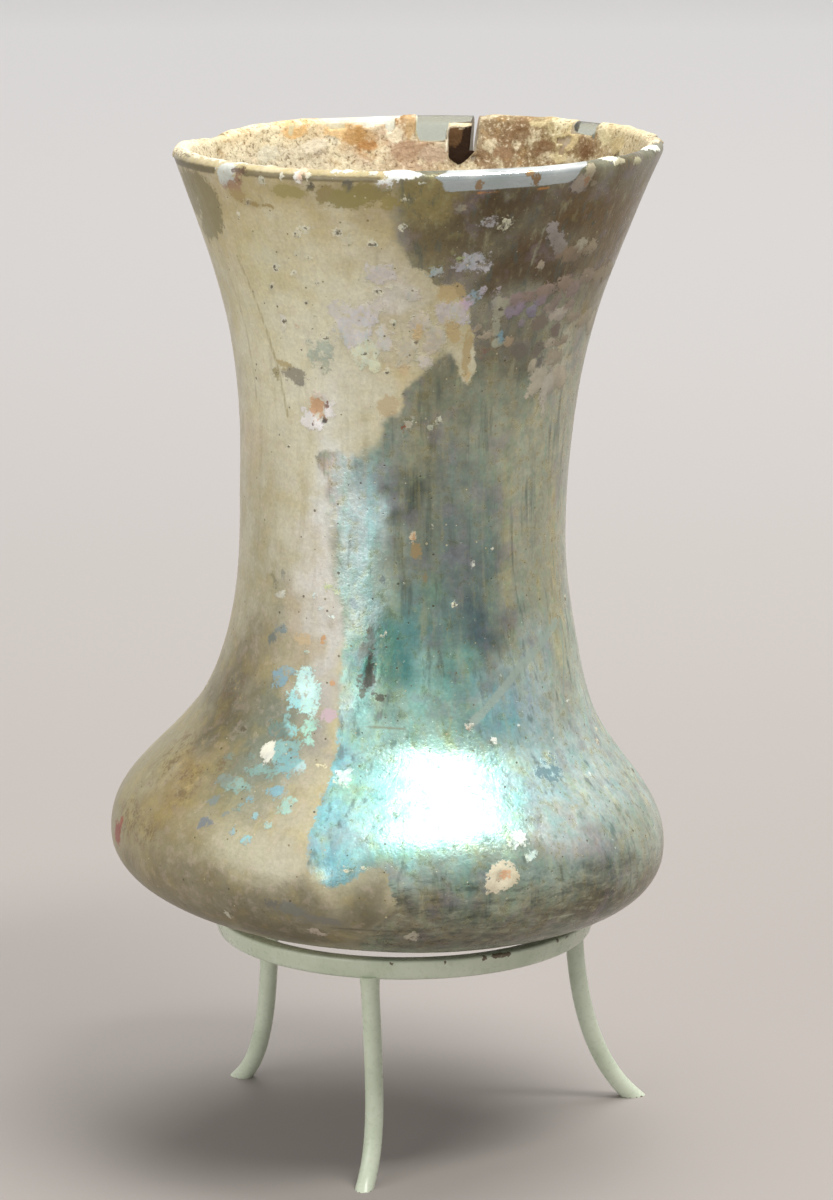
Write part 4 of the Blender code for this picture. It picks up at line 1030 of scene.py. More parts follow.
glass, glass_shader, add = new_material("weathered soda glass")
place = add("TexCoord", out="Object")
upright, level, smeared = [add("VectorMath", TIMES, _0=place, _1=squeeze) for squeeze in (
    (1.0, 1.0, 0.07), (0.12, 0.12, 1.0), (0.35, 0.35, 1.0))]
coarse, middle, fine, crumble, mottle, streak, curtain, cord, smear = [
    add("TexNoise", Vector=way, Scale=per_mm(size), Detail=detail, Roughness=roughness)
    for way, size, detail, roughness in (
        (place, 5.0, 4.0, 0.60), (place, 1.7, 4.0, 0.65), (place, 0.55, 3.0, 0.60),
        (place, 1.2, 4.0, 0.70), (place, 2.7, 6.0, 0.72), (upright, 1.6, 4.0, 0.60),
        (upright, 4.2, 5.0, 0.62), (level, 0.9, 3.0, 0.60), (smeared, 1.15, 5.0, 0.72))]
print("patterns ready:", len(glass.node_tree.nodes), "nodes")

# %% [markdown]
# The painted layers are read back from the mesh. A border's depth is made ragged by noise at
# three sizes, much finer than the mesh, and then becomes a share: 0 outside, 1 inside, with a
# soft edge. The jitter is balanced about zero, so it neither grows nor shrinks a patch.

# %% Read the painted layers
JITTER_PARTS = ((coarse, 1.0), (middle, 2.7), (fine, 1.8))
jitter = -0.5 * sum(weight for layer, weight in JITTER_PARTS)
for layer, weight in JITTER_PARTS:
    jitter = add("Math", TIMES_PLUS, _0=layer, _1=weight, _2=jitter)


def border(name, roughen, soft):
    depth = add("Attribute", {"attribute_name": name}, "Fac")
    ragged = add("Math", TIMES_PLUS, _0=jitter, _1=roughen, _2=depth)
    low = -soft if isinstance(soft, float) else add("Math", TIMES, _0=soft, _1=-1.0)
    return add("MapRange", SMOOTH, Value=ragged, From_Min=low, From_Max=soft)


run, soil, film_blur = [
    add("Attribute", {"attribute_name": name}, "Fac") for name in ("run", "soil", "film_blur")]
ground, film_tint, line_tint, flakes_and_glints_tint, crust_tint, stain_and_shade_tint, strip_tint = [
    add("Attribute", {"attribute_name": name}, "Color") for name in (
        "ground", "film_tint", "line_colour", "flake_colour", "crust_colour", "stain_colour",
        "strip_tint")]
film, flake, crust, stain, clear, strip, line = [
    border(name, roughen, soft) for name, roughen, soft in (
        ("film", 0.8, film_blur), ("flake", 0.95, 0.18), ("crust", 0.78, 0.14),
        ("stain", 0.90, 0.20), ("clear", 0.10, 0.08), ("strip", 0.06, 0.10), ("line", 0.20, 0.20))]
print("layers read:", len(glass.node_tree.nodes), "nodes")

# %% [markdown]
# The khaki bloom isn't one colour. Tints are laid on it where a pattern is strong: olive
# streaks, ochre blotches, a pale haze that thins out downwards, a rosy tinge, and dark and pale
# crumbs of soil where soil clings. A row gives the pattern, where the tint begins and is full,
# its strength and its colour, and the strength may itself be a pattern.

# %% Colour of the khaki ground


def lay_tints(add, base, rows):
    """Lay tints on a colour. A hex or a painted layer covers it, a tuple multiplies it."""
    for pattern, begin, full, strength, tint in rows:
        share = add("MapRange", SMOOTH, Value=pattern, From_Min=begin, From_Max=full, To_Max=strength)
        blend = TIMES_COLOUR if isinstance(tint, tuple) else COLOURS
        tint = colour(tint) if isinstance(tint, str) else tint
        base = add("Mix", blend, 2, _0=share, _6=base, _7=tint)
    return base


haze = add("MapRange", SMOOTH, Value=run, From_Min=22.0, From_Max=52.0, To_Min=0.08, To_Max=0.30)
dark_soil, pale_soil = [
    add("MapRange", SMOOTH, Value=soil, From_Min=-0.6, From_Max=2.0, To_Max=most)
    for most in (0.75, 0.55)]
khaki = lay_tints(add, ground, (
    (streak, 0.52, 0.72, 0.20, "#7A7048"), (coarse, 0.50, 0.66, 0.22, "#B2A05E"),
    (coarse, 0.56, 0.30, haze, "#D6D5C6"), (middle, 0.50, 0.64, 0.20, "#C4B2A4"),
    (jitter, -0.10, 0.45, dark_soil, "#64502C"), (jitter, -0.30, -0.60, pale_soil, "#B8A06C")))
print("khaki mixed:", len(glass.node_tree.nodes), "nodes")

# %% [markdown]
# The film is a stack of layers thinner than light waves, so its colour changes with its
# thickness. Dark drips and pale gleams run down it, curtains of a warmer and a cooler hue play
# over it, less so under the rim. Smears lie low on the belly, and clouds of violet, gold and
# dusk everywhere. Inside its border the film then covers the khaki, and a grain with soft
# clouds lightens and darkens both.

# %% Colour of the film
WARMER = (1.13, 1.04, 0.84, 1.0)
COOLER = (0.84, 1.01, 1.02, 1.0)
play = add("MapRange", SMOOTH, Value=run, From_Min=96.0, From_Max=82.0, To_Min=0.25, To_Max=0.80)
dark_smear, pale_smear = [
    add("MapRange", SMOOTH, Value=run, From_Min=6.0, From_Max=1.0, To_Max=most)
    for most in (0.46, 0.36)]
iridescent = lay_tints(add, film_tint, (
    (streak, 0.46, 0.30, 0.55, "#525E58"), (streak, 0.54, 0.74, 0.40, "#A9A888"),
    (curtain, 0.52, 0.66, play, WARMER), (curtain, 0.49, 0.36, play, COOLER),
    (middle, 0.52, 0.62, play, COOLER), (middle, 0.47, 0.38, play, WARMER),
    (smear, 0.51, 0.62, dark_smear, "#2A3633"), (smear, 0.48, 0.37, pale_smear, "#B4B8A2"),
    (coarse, 0.52, 0.66, 0.26, "#8E8294"), (middle, 0.56, 0.70, 0.22, "#A89C68"),
    (middle, 0.44, 0.30, 0.24, "#3C4C4A")))
base = add("Mix", COLOURS, 2, _0=film, _6=khaki, _7=iridescent)

cloud = add("MapRange", Value=mottle, From_Min=0.30, From_Max=0.70, To_Min=-0.20, To_Max=0.24)
cloud_share = add("MapRange", Value=film, To_Min=0.32, To_Max=1.0)
tone = add("Math", TIMES_PLUS, _0=cloud, _1=cloud_share, _2=1.0)
for layer, darkest, lightest in ((fine, 0.90, 1.09), (cord, 0.975, 1.02)):
    grain = add("MapRange", Value=layer, From_Min=0.3, From_Max=0.7, To_Min=darkest, To_Max=lightest)
    tone = add("Math", TIMES, _0=tone, _1=grain)
base = add("Mix", TIMES_COLOUR, 2, _0=1.0, _6=base, _7=tone)
print("film mixed:", len(glass.node_tree.nodes), "nodes")

# %% [markdown]
# The painted lines, flakes and glints, crusts, and stains go on in that order, and last the bare
# strip, which a stain can still cover. The glints are painted highlights, some stains painted
# shade, and the strip's silvery white a painted highlight. Flakes and crusts are mottled, and
# crumble away in spots.

# %% Colour of lines, flakes, crusts and stains
mottled_tone = add("MapRange", Value=mottle, From_Min=0.32, From_Max=0.68, To_Min=0.80, To_Max=1.10)
flakes_and_glints_tint, crust_tint = [
    add("Mix", TIMES_COLOUR, 2, _0=1.0, _6=tint, _7=mottled_tone) for tint in (flakes_and_glints_tint, crust_tint)]
flakes_and_glints_tint = lay_tints(add, flakes_and_glints_tint, (
    (fine, 0.50, 0.64, 0.5, WARMER), (streak, 0.50, 0.64, 0.5, COOLER)))
thin = add("MapRange", SMOOTH, Value=crumble, From_Min=0.38, From_Max=0.50, To_Min=0.20, To_Max=0.95)
worn = add("MapRange", SMOOTH, Value=crumble, From_Min=0.30, From_Max=0.44, To_Min=0.45)
for layer, most, tint in ((line, 0.75, line_tint), (flake, thin, flakes_and_glints_tint),
                          (crust, worn, crust_tint), (stain, 0.85, stain_and_shade_tint)):
    show = add("Math", TIMES, _0=layer, _1=most)
    base = add("Mix", COLOURS, 2, _0=show, _6=base, _7=tint)
# The bare strip's silvery colour is a painted highlight.
bare_strip = add("Math", MINUS_TO_ZERO, _0=strip, _1=stain)
base = add("Mix", COLOURS, 2, _0=bare_strip, _6=base, _7=strip_tint)
print("patches mixed:", len(glass.node_tree.nodes), "nodes")

# %% [markdown]
# Fine pits and specks come from Voronoi cells. A cell's random colour is its luck: only lucky
# cells hold a spot, and the luckier the larger. The first three kinds lie everywhere, and the
# flecks, dark, gold or pale, show only on bare film. All of them dent the surface.

# %% Pits, specks and flecks
height = 0.0
for cell_mm, luck_from, largest, tint, strength in (
        (1.9, 0.45, 0.12, "#4A4126", 0.75), (1.4, 0.50, 0.14, "#75663A", 0.7),
        (1.6, 0.70, 0.13, "#CFC49C", 0.60)):
    cells = add("TexVoronoi", Vector=place, Scale=per_mm(cell_mm)).node
    luck = add("SeparateColor", Color=cells.outputs["Color"])
    size = add("MapRange", Value=luck, From_Min=luck_from, From_Max=1.0, To_Max=largest)
    inside_by = add("Math", MINUS, _0=size, _1=cells.outputs["Distance"])
    spot = add("MapRange", SMOOTH, Value=inside_by, From_Min=-0.015, From_Max=0.02)
    show = add("Math", TIMES, _0=spot, _1=strength)
    base = add("Mix", COLOURS, 2, _0=show, _6=base, _7=colour(tint))
    height = add("Math", MINUS, _0=height, _1=spot)

FLECK_STRENGTH = 0.19
cells = add("TexVoronoi", Vector=place, Scale=per_mm(0.95)).node
luck = add("SeparateColor", Color=cells.outputs["Color"]).node
size = add("MapRange", Value=luck.outputs[0], From_Min=0.45, From_Max=1.0, To_Max=0.19)
inside_by = add("Math", MINUS, _0=size, _1=cells.outputs["Distance"])
fleck = add("MapRange", SMOOTH, Value=inside_by, From_Min=-0.03, From_Max=0.03)
fleck_tint = lay_tints(add, colour("#333A34"), (
    (luck.outputs[1], 0.28, 0.38, 1.0, "#C0A866"), (luck.outputs[2], 0.6, 0.7, 1.0, "#D5DAC8")))
cover = add("Math", LARGER, _0=flake, _1=crust)
bare_film = add("Math", MINUS_TO_ZERO, _0=film, _1=cover)
show = add("Math", TIMES, _0=fleck, _1=bare_film)
show = add("Math", TIMES, _0=show, _1=FLECK_STRENGTH)
base = add("Mix", COLOURS, 2, _0=show, _6=base, _7=fleck_tint)
print("spots mixed:", len(glass.node_tree.nodes), "nodes")

# %% [markdown]
# The film mirrors like a coloured metal, because light is sent back from between its layers, so
# it gets part of a metal's reflection. It is glossier than the khaki, and crusts are duller.
# Clear glass lets light through by the shader's own transmission, and is as glossy as the bare
# strip. A bump gives the finest relief: grain, the edges of flakes, and the pits.

# %% Gloss, clear glass and fine relief
CLEAR_TINT = "#E6EBDC"
CLEAR_TRANSMISSION = 0.92
FILM_METAL = 0.42
FILM_GLOSS, COVER_DULLNESS, FIRE_POLISH = -0.10, 0.12, 0.12
base = add("Mix", COLOURS, 2, _0=clear, _6=base, _7=colour(CLEAR_TINT))
metal = add("Math", MINUS_TO_ZERO, _0=bare_film, _1=clear)
metal = add("Math", TIMES, _0=metal, _1=FILM_METAL)
rough = add("MapRange", Value=middle, From_Min=0.3, From_Max=0.7, To_Min=0.34, To_Max=0.50)
rough = add("Math", TIMES_PLUS, _0=bare_film, _1=FILM_GLOSS, _2=rough)
rough = add("Math", TIMES_PLUS, _0=cover, _1=COVER_DULLNESS, _2=rough)
polished = add("Math", LARGER, _0=strip, _1=clear)
rough = add("Mix", {"data_type": "FLOAT"}, _0=polished, _2=rough, _3=FIRE_POLISH)
for layer, weight in ((middle, 1.5), (fine, 0.6), (cover, 0.9), (fleck, -0.5), (cord, 0.15)):
    height = add("Math", TIMES_PLUS, _0=layer, _1=weight, _2=height)
bump = add("Bump", Strength=0.6, Distance=0.11 * MM, Height=height)
see_through = add("Math", TIMES, _0=clear, _1=CLEAR_TRANSMISSION)
add(glass_shader, Base_Color=base, Roughness=rough, Normal=bump, Metallic=metal,
    Transmission_Weight=see_through, IOR=1.5, Coat_Weight=0.14, Coat_Roughness=0.18)
print("the glass has", len(glass.node_tree.nodes), "nodes")

# %% [markdown]
# The wall becomes an object. It is painted first, while it is still plain and upright, because
# that is where the strokes' addresses hold. Then the relief moves each vertex along its normal,
# the form is bent by hand, and the beaker is stood in its ring. It takes the place of the plain
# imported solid.

# %% Finish the beaker


def paint_wall(piece):
    skin = Skin(piece.data)
    skin.washes("ground", GROUND, GROUND_WASHES + back_washes + INSIDE_WASHES)
    skin.washes("film_tint", FILM, FILM_WASHES)
    skin.washes("strip_tint", STRIP_HIGHLIGHT, STRIP_HIGHLIGHT_WASHES)
    skin.zone("film", FILM_BORDER, BACK_ISLAND)
    skin.zone("strip", STRIP_BORDER)
    skin.zone("clear", BACK_WINDOW, SIDE_WINDOW)
    skin.patches("flake", LILAC_FLAKES_AND_GLINTS + CYAN_FLAKES_AND_GLINTS + back_marks + bubble_rims)
    skin.patches("crust", CRUSTS + LIP_PATCHES)
    skin.patches("stain", STAINS_AND_SHADE + pits)
    skin.trails("line", LINES)
    store_value(piece.data, "soil", skin.deepest(SOIL))
    return skin


beaker = as_object("beaker_glass", wall, glass)
beaker_skin = paint_wall(beaker)
raised = add_relief(beaker_skin, vertex_normals(beaker.data))
place_mesh(beaker.data, stand_in_ring(shape_by_hand(raised)))
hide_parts("beaker")
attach(beaker, "root")
low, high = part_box("beaker")
print("packed beaker", [round(v / MM, 2) for v in (*low, *high)])
spots = places_of(beaker.data)
print("fine beaker  ", [round(float(v) / MM, 2) for v in (*spots.min(0), *spots.max(0))])

# %% [markdown]
# The lime crust in the mouth is thick enough to have edges of its own, so it is a sheet that
# follows the inside of the glass, finer than the wall. Patches say where it clings, other
# patches and the clear windows where it has fallen away. Washes and crisp marks colour it as
# they do the glass.

# %% Where the lime crust clings, and its colours
CRUST_COVER = [
    # (79.4, 120.4) keeps the sheet over the hollow beside the crack, where it carries painted shade.
    (79.4, 120.4, 5.5, 5.5, 0), (60, 124, 12, 7.9, 0), (58, 117, 10, 6.0, 0), (67, 118, 7.6, 4.6, 0),
    (36, 119, 11, 4.8, 0), (30, 115, 6.5, 3.0, -8), (20, 117, 12, 4.2, 0), (41, 121.5, 7, 3.8, 0),
    (50, 115.6, 5, 3.6, 0), (92.5, 121, 5.4, 9, 0), (84, 126, 9, 6, 0), (93, 115, 2.3, 4.6, 0),
    (104, 123, 11, 6.8, 0), (107.6, 116, 2.2, 4, 0), (114, 122, 9, 5.5, 0), (124, 118, 11, 6.5, 0),
    (136, 119, 12, 6.8, 0), (127, 114.5, 12, 2.6, 0), (142, 114.8, 6, 2.2, 0), (150, 119.5, 10, 4.2, 0),
    (165, 118, 16, 4.0, 0), (178, 117, 12, 4.5, 0), (-165, 118, 14, 4.0, 0), (130, 134, 60, 11, 0),
    (50, 134, 40, 11, 0), (0, 126, 22, 12, 0), (-150, 126, 24, 11, 0), (-110, 126, 26, 9, 0),
    (-70, 126, 26, 9, 0), (-35, 126, 24, 9, 0), (70, 122, 5, 5, 0),
]
CRUST_GAPS = [
    (102, 114.4, 8.0, 2.4, 0), (113, 114.7, 2.6, 1.5, 0), (75.0, 117, 0.6, 5.0, 0),
    (153, 114.2, 5, 1.0, -20),
]
CRUST_MARKS = [
    # (82.0, 120.2) and (78.9, 117.2) are the crust's cream brightened as painted highlights on the
    # hollow's left edge and top ledge; (80.2, 119.4) is the hollow's painted shade, less deep at its
    # left.
    (82.0, 120.2, 0.55, 2.6, 0, "#F4ECD8"), (78.9, 117.2, 4.0, 0.55, 4, "#EADDB8"),
    (80.2, 119.4, 1.9, 1.8, 0, "#5E452C"), (107, 118.6, 3.2, 1.5, 10, "#B48A54"),
    (103, 120.4, 3.4, 1.0, 0, "#B0804C"), (92.4, 117.2, 1.7, 3.0, 0, "#B8986C"),
    (96, 118.8, 2.4, 1.8, 0, "#E6DABF"), (93, 121.4, 5.0, 1.8, 0, "#A88A70"),
    (86, 122.2, 5.0, 1.4, 0, "#B29A84"), (112, 117.8, 3.4, 1.2, -10, "#DDB984"),
    (118, 120.2, 5.0, 1.2, 0, "#E8DDC6"), (124, 117.4, 5.0, 0.9, 0, "#D8AE74"),
    (133, 120.6, 4.0, 1.4, 0, "#DAD4BE"), (62, 118.6, 3.0, 1.5, 0, "#7A5E40"),
    (54, 120.4, 3.0, 1.3, 14, "#785A3E"), (46, 119, 2.6, 1.5, 20, "#C8B58A"),
    (49, 122, 2.8, 1.0, 0, "#CDBE96"), (40, 120.6, 2.4, 1.2, 0, "#74563A"),
    (33, 117.8, 2.8, 1.3, 0, "#D6CAA2"), (57, 116.8, 2.6, 0.7, 0, "#CFBF94"),
    (66, 121.6, 3.0, 1.0, 0, "#94785C"), (26, 118.6, 3.6, 1.4, 0, "#C6B488"),
]
CRUST_TINT = "#DDD2B6"
CRUST_WASHES = [
    (58, 122, 15, 7, "#7C6A4E", 1.0), (60, 116, 12, 4, "#94835F", 0.9), (38, 120, 9, 5, "#8C7A52", 0.9),
    (48, 116, 5, 3, "#D2C598", 0.9), (30, 116, 8, 3, "#CDBC90", 0.8), (18, 117, 12, 4, "#D8CBA6", 0.9),
    (39, 119, 3, 1.6, "#6E4E34", 0.8), (68, 113.4, 5, 1.0, "#D2BE98", 0.7),
    (66, 119, 5, 3, "#86684C", 0.8), (50, 134, 50, 11, "#8E7256", 0.95),
    (92.5, 121, 6, 6, "#A88C74", 0.95), (92.0, 116, 2.4, 5, "#A07A4C", 0.95),
    (98, 121, 6, 3, "#CDB49C", 0.9), (107, 118.8, 3.4, 1.8, "#B08450", 0.95),
    (103, 120.6, 3.6, 1.2, "#AA7C4A", 0.9), (112, 120, 5, 2.6, "#D8BC92", 0.8),
    (120, 114.8, 8, 1.8, "#D4A86E", 0.85), (132, 114.4, 7, 1.4, "#DEB884", 0.7),
    (128, 118.6, 10, 2.6, "#E4CFA4", 0.8), (140, 119, 10, 3, "#E2D4B4", 0.8),
    (126, 122.6, 16, 2.4, "#D6CDB8", 0.8), (146, 115.4, 6, 1.8, "#DAC398", 0.8),
    (155, 117, 4, 2.6, "#A89A78", 0.8), (151, 114.6, 3, 1.0, "#8F8464", 0.8),
    (166, 117, 8, 3, "#E4D6B6", 0.8), (-170, 117, 16, 3, "#E6DABC", 0.8),
    (130, 134, 60, 8, "#BFAE8A", 0.8), (134.5, 121.4, 2.4, 1.2, "#A8A48A", 0.8),
    (112.4, 119.2, 0.9, 0.8, "#66747E", 0.9), (118, 121.4, 2.6, 0.5, "#7A6650", 0.8),
    (0, 128, 24, 9, "#A08C70", 0.8), (-110, 128, 50, 8, "#BBA983", 0.8),
]
print(len(CRUST_COVER), "patches of crust,", len(CRUST_GAPS), "gaps,", len(CRUST_MARKS), "marks")

# %% [markdown]
# Lime crust is chalky: almost no gloss, cream where it is thick, stained brown and orange by
# iron in the soil, with a granular surface. The hollow beside the crack is painted near-black
# last but for the marks: painted shade in the recess, over dark glass.

# %% The lime crust's material
lime, lime_shader, add = new_material("lime burial crust")
place = add("TexCoord", out="Object")
blotch, grain, rust = [
    add("TexNoise", Vector=place, Scale=per_mm(size), Detail=detail, Roughness=roughness)
    for size, detail, roughness in ((3.4, 5.0, 0.60), (0.7, 4.0, 0.65), (2.2, 5.0, 0.65))]
tint, mark_tint = [
    add("Attribute", {"attribute_name": name}, "Color") for name in ("crust_tint", "mark_colour")]
hollow, mark = [add("Attribute", {"attribute_name": name}, "Fac") for name in ("hollow", "mark")]
ragged = add("Math", TIMES_PLUS, _0=rust, _1=3.0, _2=-1.5)
mark = add("Math", PLUS, _0=mark, _1=ragged)
base = lay_tints(add, tint, (
    (blotch, 0.50, 0.62, 0.55, "#E2D8B8"), (rust, 0.54, 0.66, 0.45, "#B08E60"),
    (grain, 0.47, 0.32, 0.72, "#6E5436"), (grain, 0.54, 0.66, 0.50, "#E8DCC2"),
    # The near-black in the hollow is painted shade.
    (hollow, -0.06, 0.06, 1.0, "#2B1C11"), (mark, -0.20, 0.35, 0.80, mark_tint)))
tone = add("MapRange", Value=grain, From_Min=0.3, From_Max=0.7, To_Min=0.88, To_Max=1.10)
base = add("Mix", TIMES_COLOUR, 2, _0=1.0, _6=base, _7=tone)
height = add("Math", PLUS, _0=blotch, _1=grain)
bump = add("Bump", Strength=0.9, Distance=0.25 * MM, Height=height)
add(lime_shader, Base_Color=base, Roughness=0.85, Specular_IOR_Level=0.15, Normal=bump)
print("the lime crust has", len(lime.node_tree.nodes), "nodes")

# %% [markdown]
# The crust's sheet starts as the wall's own outline over the lip and down the inside, cut into
# steps of less than half a millimetre. Its vertices are deleted where the crust has fallen
# away, with a ragged edge.

# %% Cut the crust's sheet
CRUST_SIDES, CRUST_STEP, CRUST_END = 540, 0.45, 150.0
CRUST_EDGE = ((0.7, 2.4, 5), (0.45, 0.9, 6))
COVER_STRAY, GAP_STRAY = 0.8, 0.4


def crust_sheet():
    """The lip and the upper inside of the glass as one finely stepped sheet."""
    first = len(outside) - 2
    spine = [(run, point) for run, point in zip(wall_runs[first:], wall_outline[first:])
             if run < CRUST_END]
    spine_runs = [run for run, point in spine]
    runs = np.arange(spine_runs[0], spine_runs[-1], CRUST_STEP)
    across = np.interp(runs, spine_runs, [point.x for run, point in spine])
    up = np.interp(runs, spine_runs, [point.y for run, point in spine])
    return spin_outline([Vector(pair) for pair in zip(across, up)], list(runs), CRUST_SIDES)


def where_crust_clings(skin):
    ragged = noise_over(skin.places, *CRUST_EDGE)
    clings = skin.deepest(CRUST_COVER) + COVER_STRAY * ragged > 0
    clings &= skin.deepest(CRUST_GAPS) + GAP_STRAY * ragged < 0
    for window in (BACK_WINDOW, SIDE_WINDOW):
        clings &= skin.depth_in(window)[0] < 0
    return clings


def trim(mesh, keep):
    bm = bmesh.new()
    bm.from_mesh(mesh)
    bm.verts.ensure_lookup_table()
    fallen = [vert for vert in bm.verts if not keep[vert.index]]
    bmesh.ops.delete(bm, geom=fallen, context="VERTS")
    bm.to_mesh(mesh)
    bm.free()


print("the sheet has", CRUST_SIDES, "sides and a step of", CRUST_STEP, "mm")

# %% [markdown]
# The whole sheet is painted and lifted off the glass, unevenly by noise and hardly at all in
# the hollow, where it stays as a near-black sheet of painted shade. It takes the same form as
# the beaker, is trimmed, and gets its thickness from a Solidify modifier that reaches down into
# the glass, so no gap shows under it.

# %% Lime crust in the mouth
CRUST_LIFT, CRUST_THICKNESS = 0.42, 0.60
CRUST_LUMPS = ((0.18, 3.0, 7), (0.06, 1.1, 8))
HOLLOW_LIFT, HOLLOW_SLOPE = 0.05, 0.4
mouth_crust = as_object("lime_crust", crust_sheet(), lime)
print("crust sheet has", len(mouth_crust.data.polygons), "faces before the gaps")
crust_skin = Skin(mouth_crust.data)
crust_skin.washes("crust_tint", CRUST_TINT, CRUST_WASHES)
crust_skin.patches("mark", CRUST_MARKS)
crust_skin.zone("hollow", HOLLOW_SHADE_BORDER)
lift = CRUST_LIFT + noise_over(crust_skin.places, *CRUST_LUMPS)
lift += (HOLLOW_LIFT - lift) * ease(crust_skin.depth_in(HOLLOW_SHADE_BORDER)[0] / HOLLOW_SLOPE)
lumpy = crust_skin.places + vertex_normals(mouth_crust.data) * lift[:, None]
place_mesh(mouth_crust.data, stand_in_ring(shape_by_hand(lumpy)))
trim(mouth_crust.data, where_crust_clings(crust_skin))
thick = mouth_crust.modifiers.new("thickness", "SOLIDIFY")
thick.thickness = CRUST_THICKNESS * MM
thick.offset = -1.0
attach(mouth_crust, "root")
print("crust keeps", len(mouth_crust.data.polygons), "faces")

# %% [markdown]
# The stand is a flat ring and three round rods, brazed together and painted. The ring's section
# is four corners, drawn in a little underneath and rounded by a bevel. Spun about its axis, it
# becomes the ring, as if turned on a lathe.

# %% The ring, in millimetres
RING_TOP, RING_INNER, RING_WIDTH, RING_HEIGHT = 37.8, 29.0, 2.9, 3.5
RING_DRAFT, RING_EDGE, RING_SIDES = 1.0, 0.55, 180
RING_CENTRE = (2.8, 3.7)


def make_ring_mesh():
    bottom = RING_TOP - RING_HEIGHT
    outer = RING_INNER + RING_WIDTH
    corners = ((RING_INNER, bottom), (outer - RING_DRAFT, bottom), (outer, RING_TOP),
               (RING_INNER, RING_TOP))
    bm = bmesh.new()
    bm.faces.new([bm.verts.new((radius, 0, height)) for radius, height in corners])
    bmesh.ops.bevel(bm, geom=bm.verts[:], offset=RING_EDGE, offset_type="OFFSET", segments=4,
                    profile=0.5, affect="VERTICES", material=-1)
    bmesh.ops.delete(bm, geom=bm.faces[:], context="FACES_ONLY")
    bmesh.ops.spin(bm, geom=bm.verts[:] + bm.edges[:], axis=(0, 0, 1), cent=(0, 0, 0),
                   angle=math.tau, steps=RING_SIDES, use_merge=True)
    bmesh.ops.remove_doubles(bm, verts=bm.verts, dist=MERGE_WITHIN)
    bmesh.ops.recalc_face_normals(bm, faces=bm.faces)
    centre = Matrix.Translation((*RING_CENTRE, 0))
    bmesh.ops.transform(bm, matrix=Matrix.Scale(MM, 4) @ centre, verts=bm.verts)
    return bm


print("the ring is", RING_HEIGHT, "mm tall and", 2 * (RING_INNER + RING_WIDTH), "mm across")

# %% [markdown]
# Each rod is a Bezier route with a round bevel, like a rod bent by hand. It runs on below the
# floor and is sawn off level there, which leaves a slanting oval foot. Where it meets the ring,
# a small fillet of braze swells it. LEGS gives each rod its azimuth, how far its foot splays
# out, and how far it bows sideways.

# %% The rods, in millimetres
LEG_RADIUS, LEG_SET_IN, LEG_SUNK = 1.5, 0.4, 0.4
LEG_TOP_RADIUS = RING_INNER + RING_WIDTH / 2 - LEG_SET_IN
FOOT_SLOPE, LEG_PULL, FOOT_PULL, LEG_OVERRUN = math.radians(47.0), 0.58, 0.21, 4.5
LEGS = {"front": (-100.7, 4.75, 0.8), "right": (19.3, 10.95, 0.0), "back_left": (139.3, 6.85, 0.0)}
LEG_STATIONS = 40
BRAZE_SWELL, BRAZE_REACH = 0.14, 1.4


def leg_route(splay, bow):
    top = Vector((LEG_TOP_RADIUS, 0, RING_TOP - RING_HEIGHT + LEG_SUNK))
    foot = Vector((LEG_TOP_RADIUS + splay, 0, 0))
    out = Vector((math.sin(FOOT_SLOPE), 0, -math.cos(FOOT_SLOPE)))
    route = interpolate_bezier(top, top - Vector((0, 0, LEG_PULL * top.z)),
                               foot - out * FOOT_PULL * top.z, foot, LEG_STATIONS)
    for step, place in enumerate(route):
        place.y += bow * math.sin(math.pi * step / (LEG_STATIONS - 1))
    return route + [foot + out * LEG_OVERRUN]


def make_leg_mesh(angle, splay, bow):
    curve = bpy.data.curves.new("rod", "CURVE")
    curve.dimensions = "3D"
    curve.bevel_depth = LEG_RADIUS
    curve.bevel_resolution = 10
    curve.use_fill_caps = True
    route = leg_route(splay, bow)
    spline = curve.splines.new("POLY")
    spline.points.add(len(route) - 1)
    for spot, place in zip(spline.points, route):
        spot.co = (*place, 1)
        spot.radius = 1 + BRAZE_SWELL * math.exp(-((route[0] - place).length / BRAZE_REACH) ** 2)
    rod = bpy.data.objects.new("rod", curve)
    bpy.context.collection.objects.link(rod)
    tube = bpy.data.meshes.new_from_object(rod.evaluated_get(bpy.context.evaluated_depsgraph_get()))
    bpy.data.objects.remove(rod, do_unlink=True)
    bm = bmesh.new()
    bm.from_mesh(tube)
    bmesh.ops.remove_doubles(bm, verts=bm.verts, dist=MERGE_WITHIN)
    bmesh.ops.bisect_plane(bm, geom=bm.verts[:] + bm.edges[:] + bm.faces[:], plane_co=(0, 0, 0),
                           plane_no=(0, 0, 1), clear_inner=True, dist=MERGE_WITHIN)
    bmesh.ops.edgeloop_fill(bm, edges=[edge for edge in bm.edges if edge.is_boundary])
    bmesh.ops.recalc_face_normals(bm, faces=bm.faces)
    turn = Matrix.Translation((*RING_CENTRE, 0)) @ Matrix.Rotation(math.radians(angle), 4, "Z")
    bmesh.ops.transform(bm, matrix=Matrix.Scale(MM, 4) @ turn, verts=bm.verts)
    return bm


print("the rods are", 2 * LEG_RADIUS, "mm thick")

# %% [markdown]
# The paint is a pale green enamel put on with a brush: satin, slightly thick at the edges, with
# small chips that show dirty metal along the ring's outer corner and at the feet's ends. It
# never follows the metal exactly, so a slow bump breaks up its gloss. Each chip on the ring
# has its azimuth and its half size.

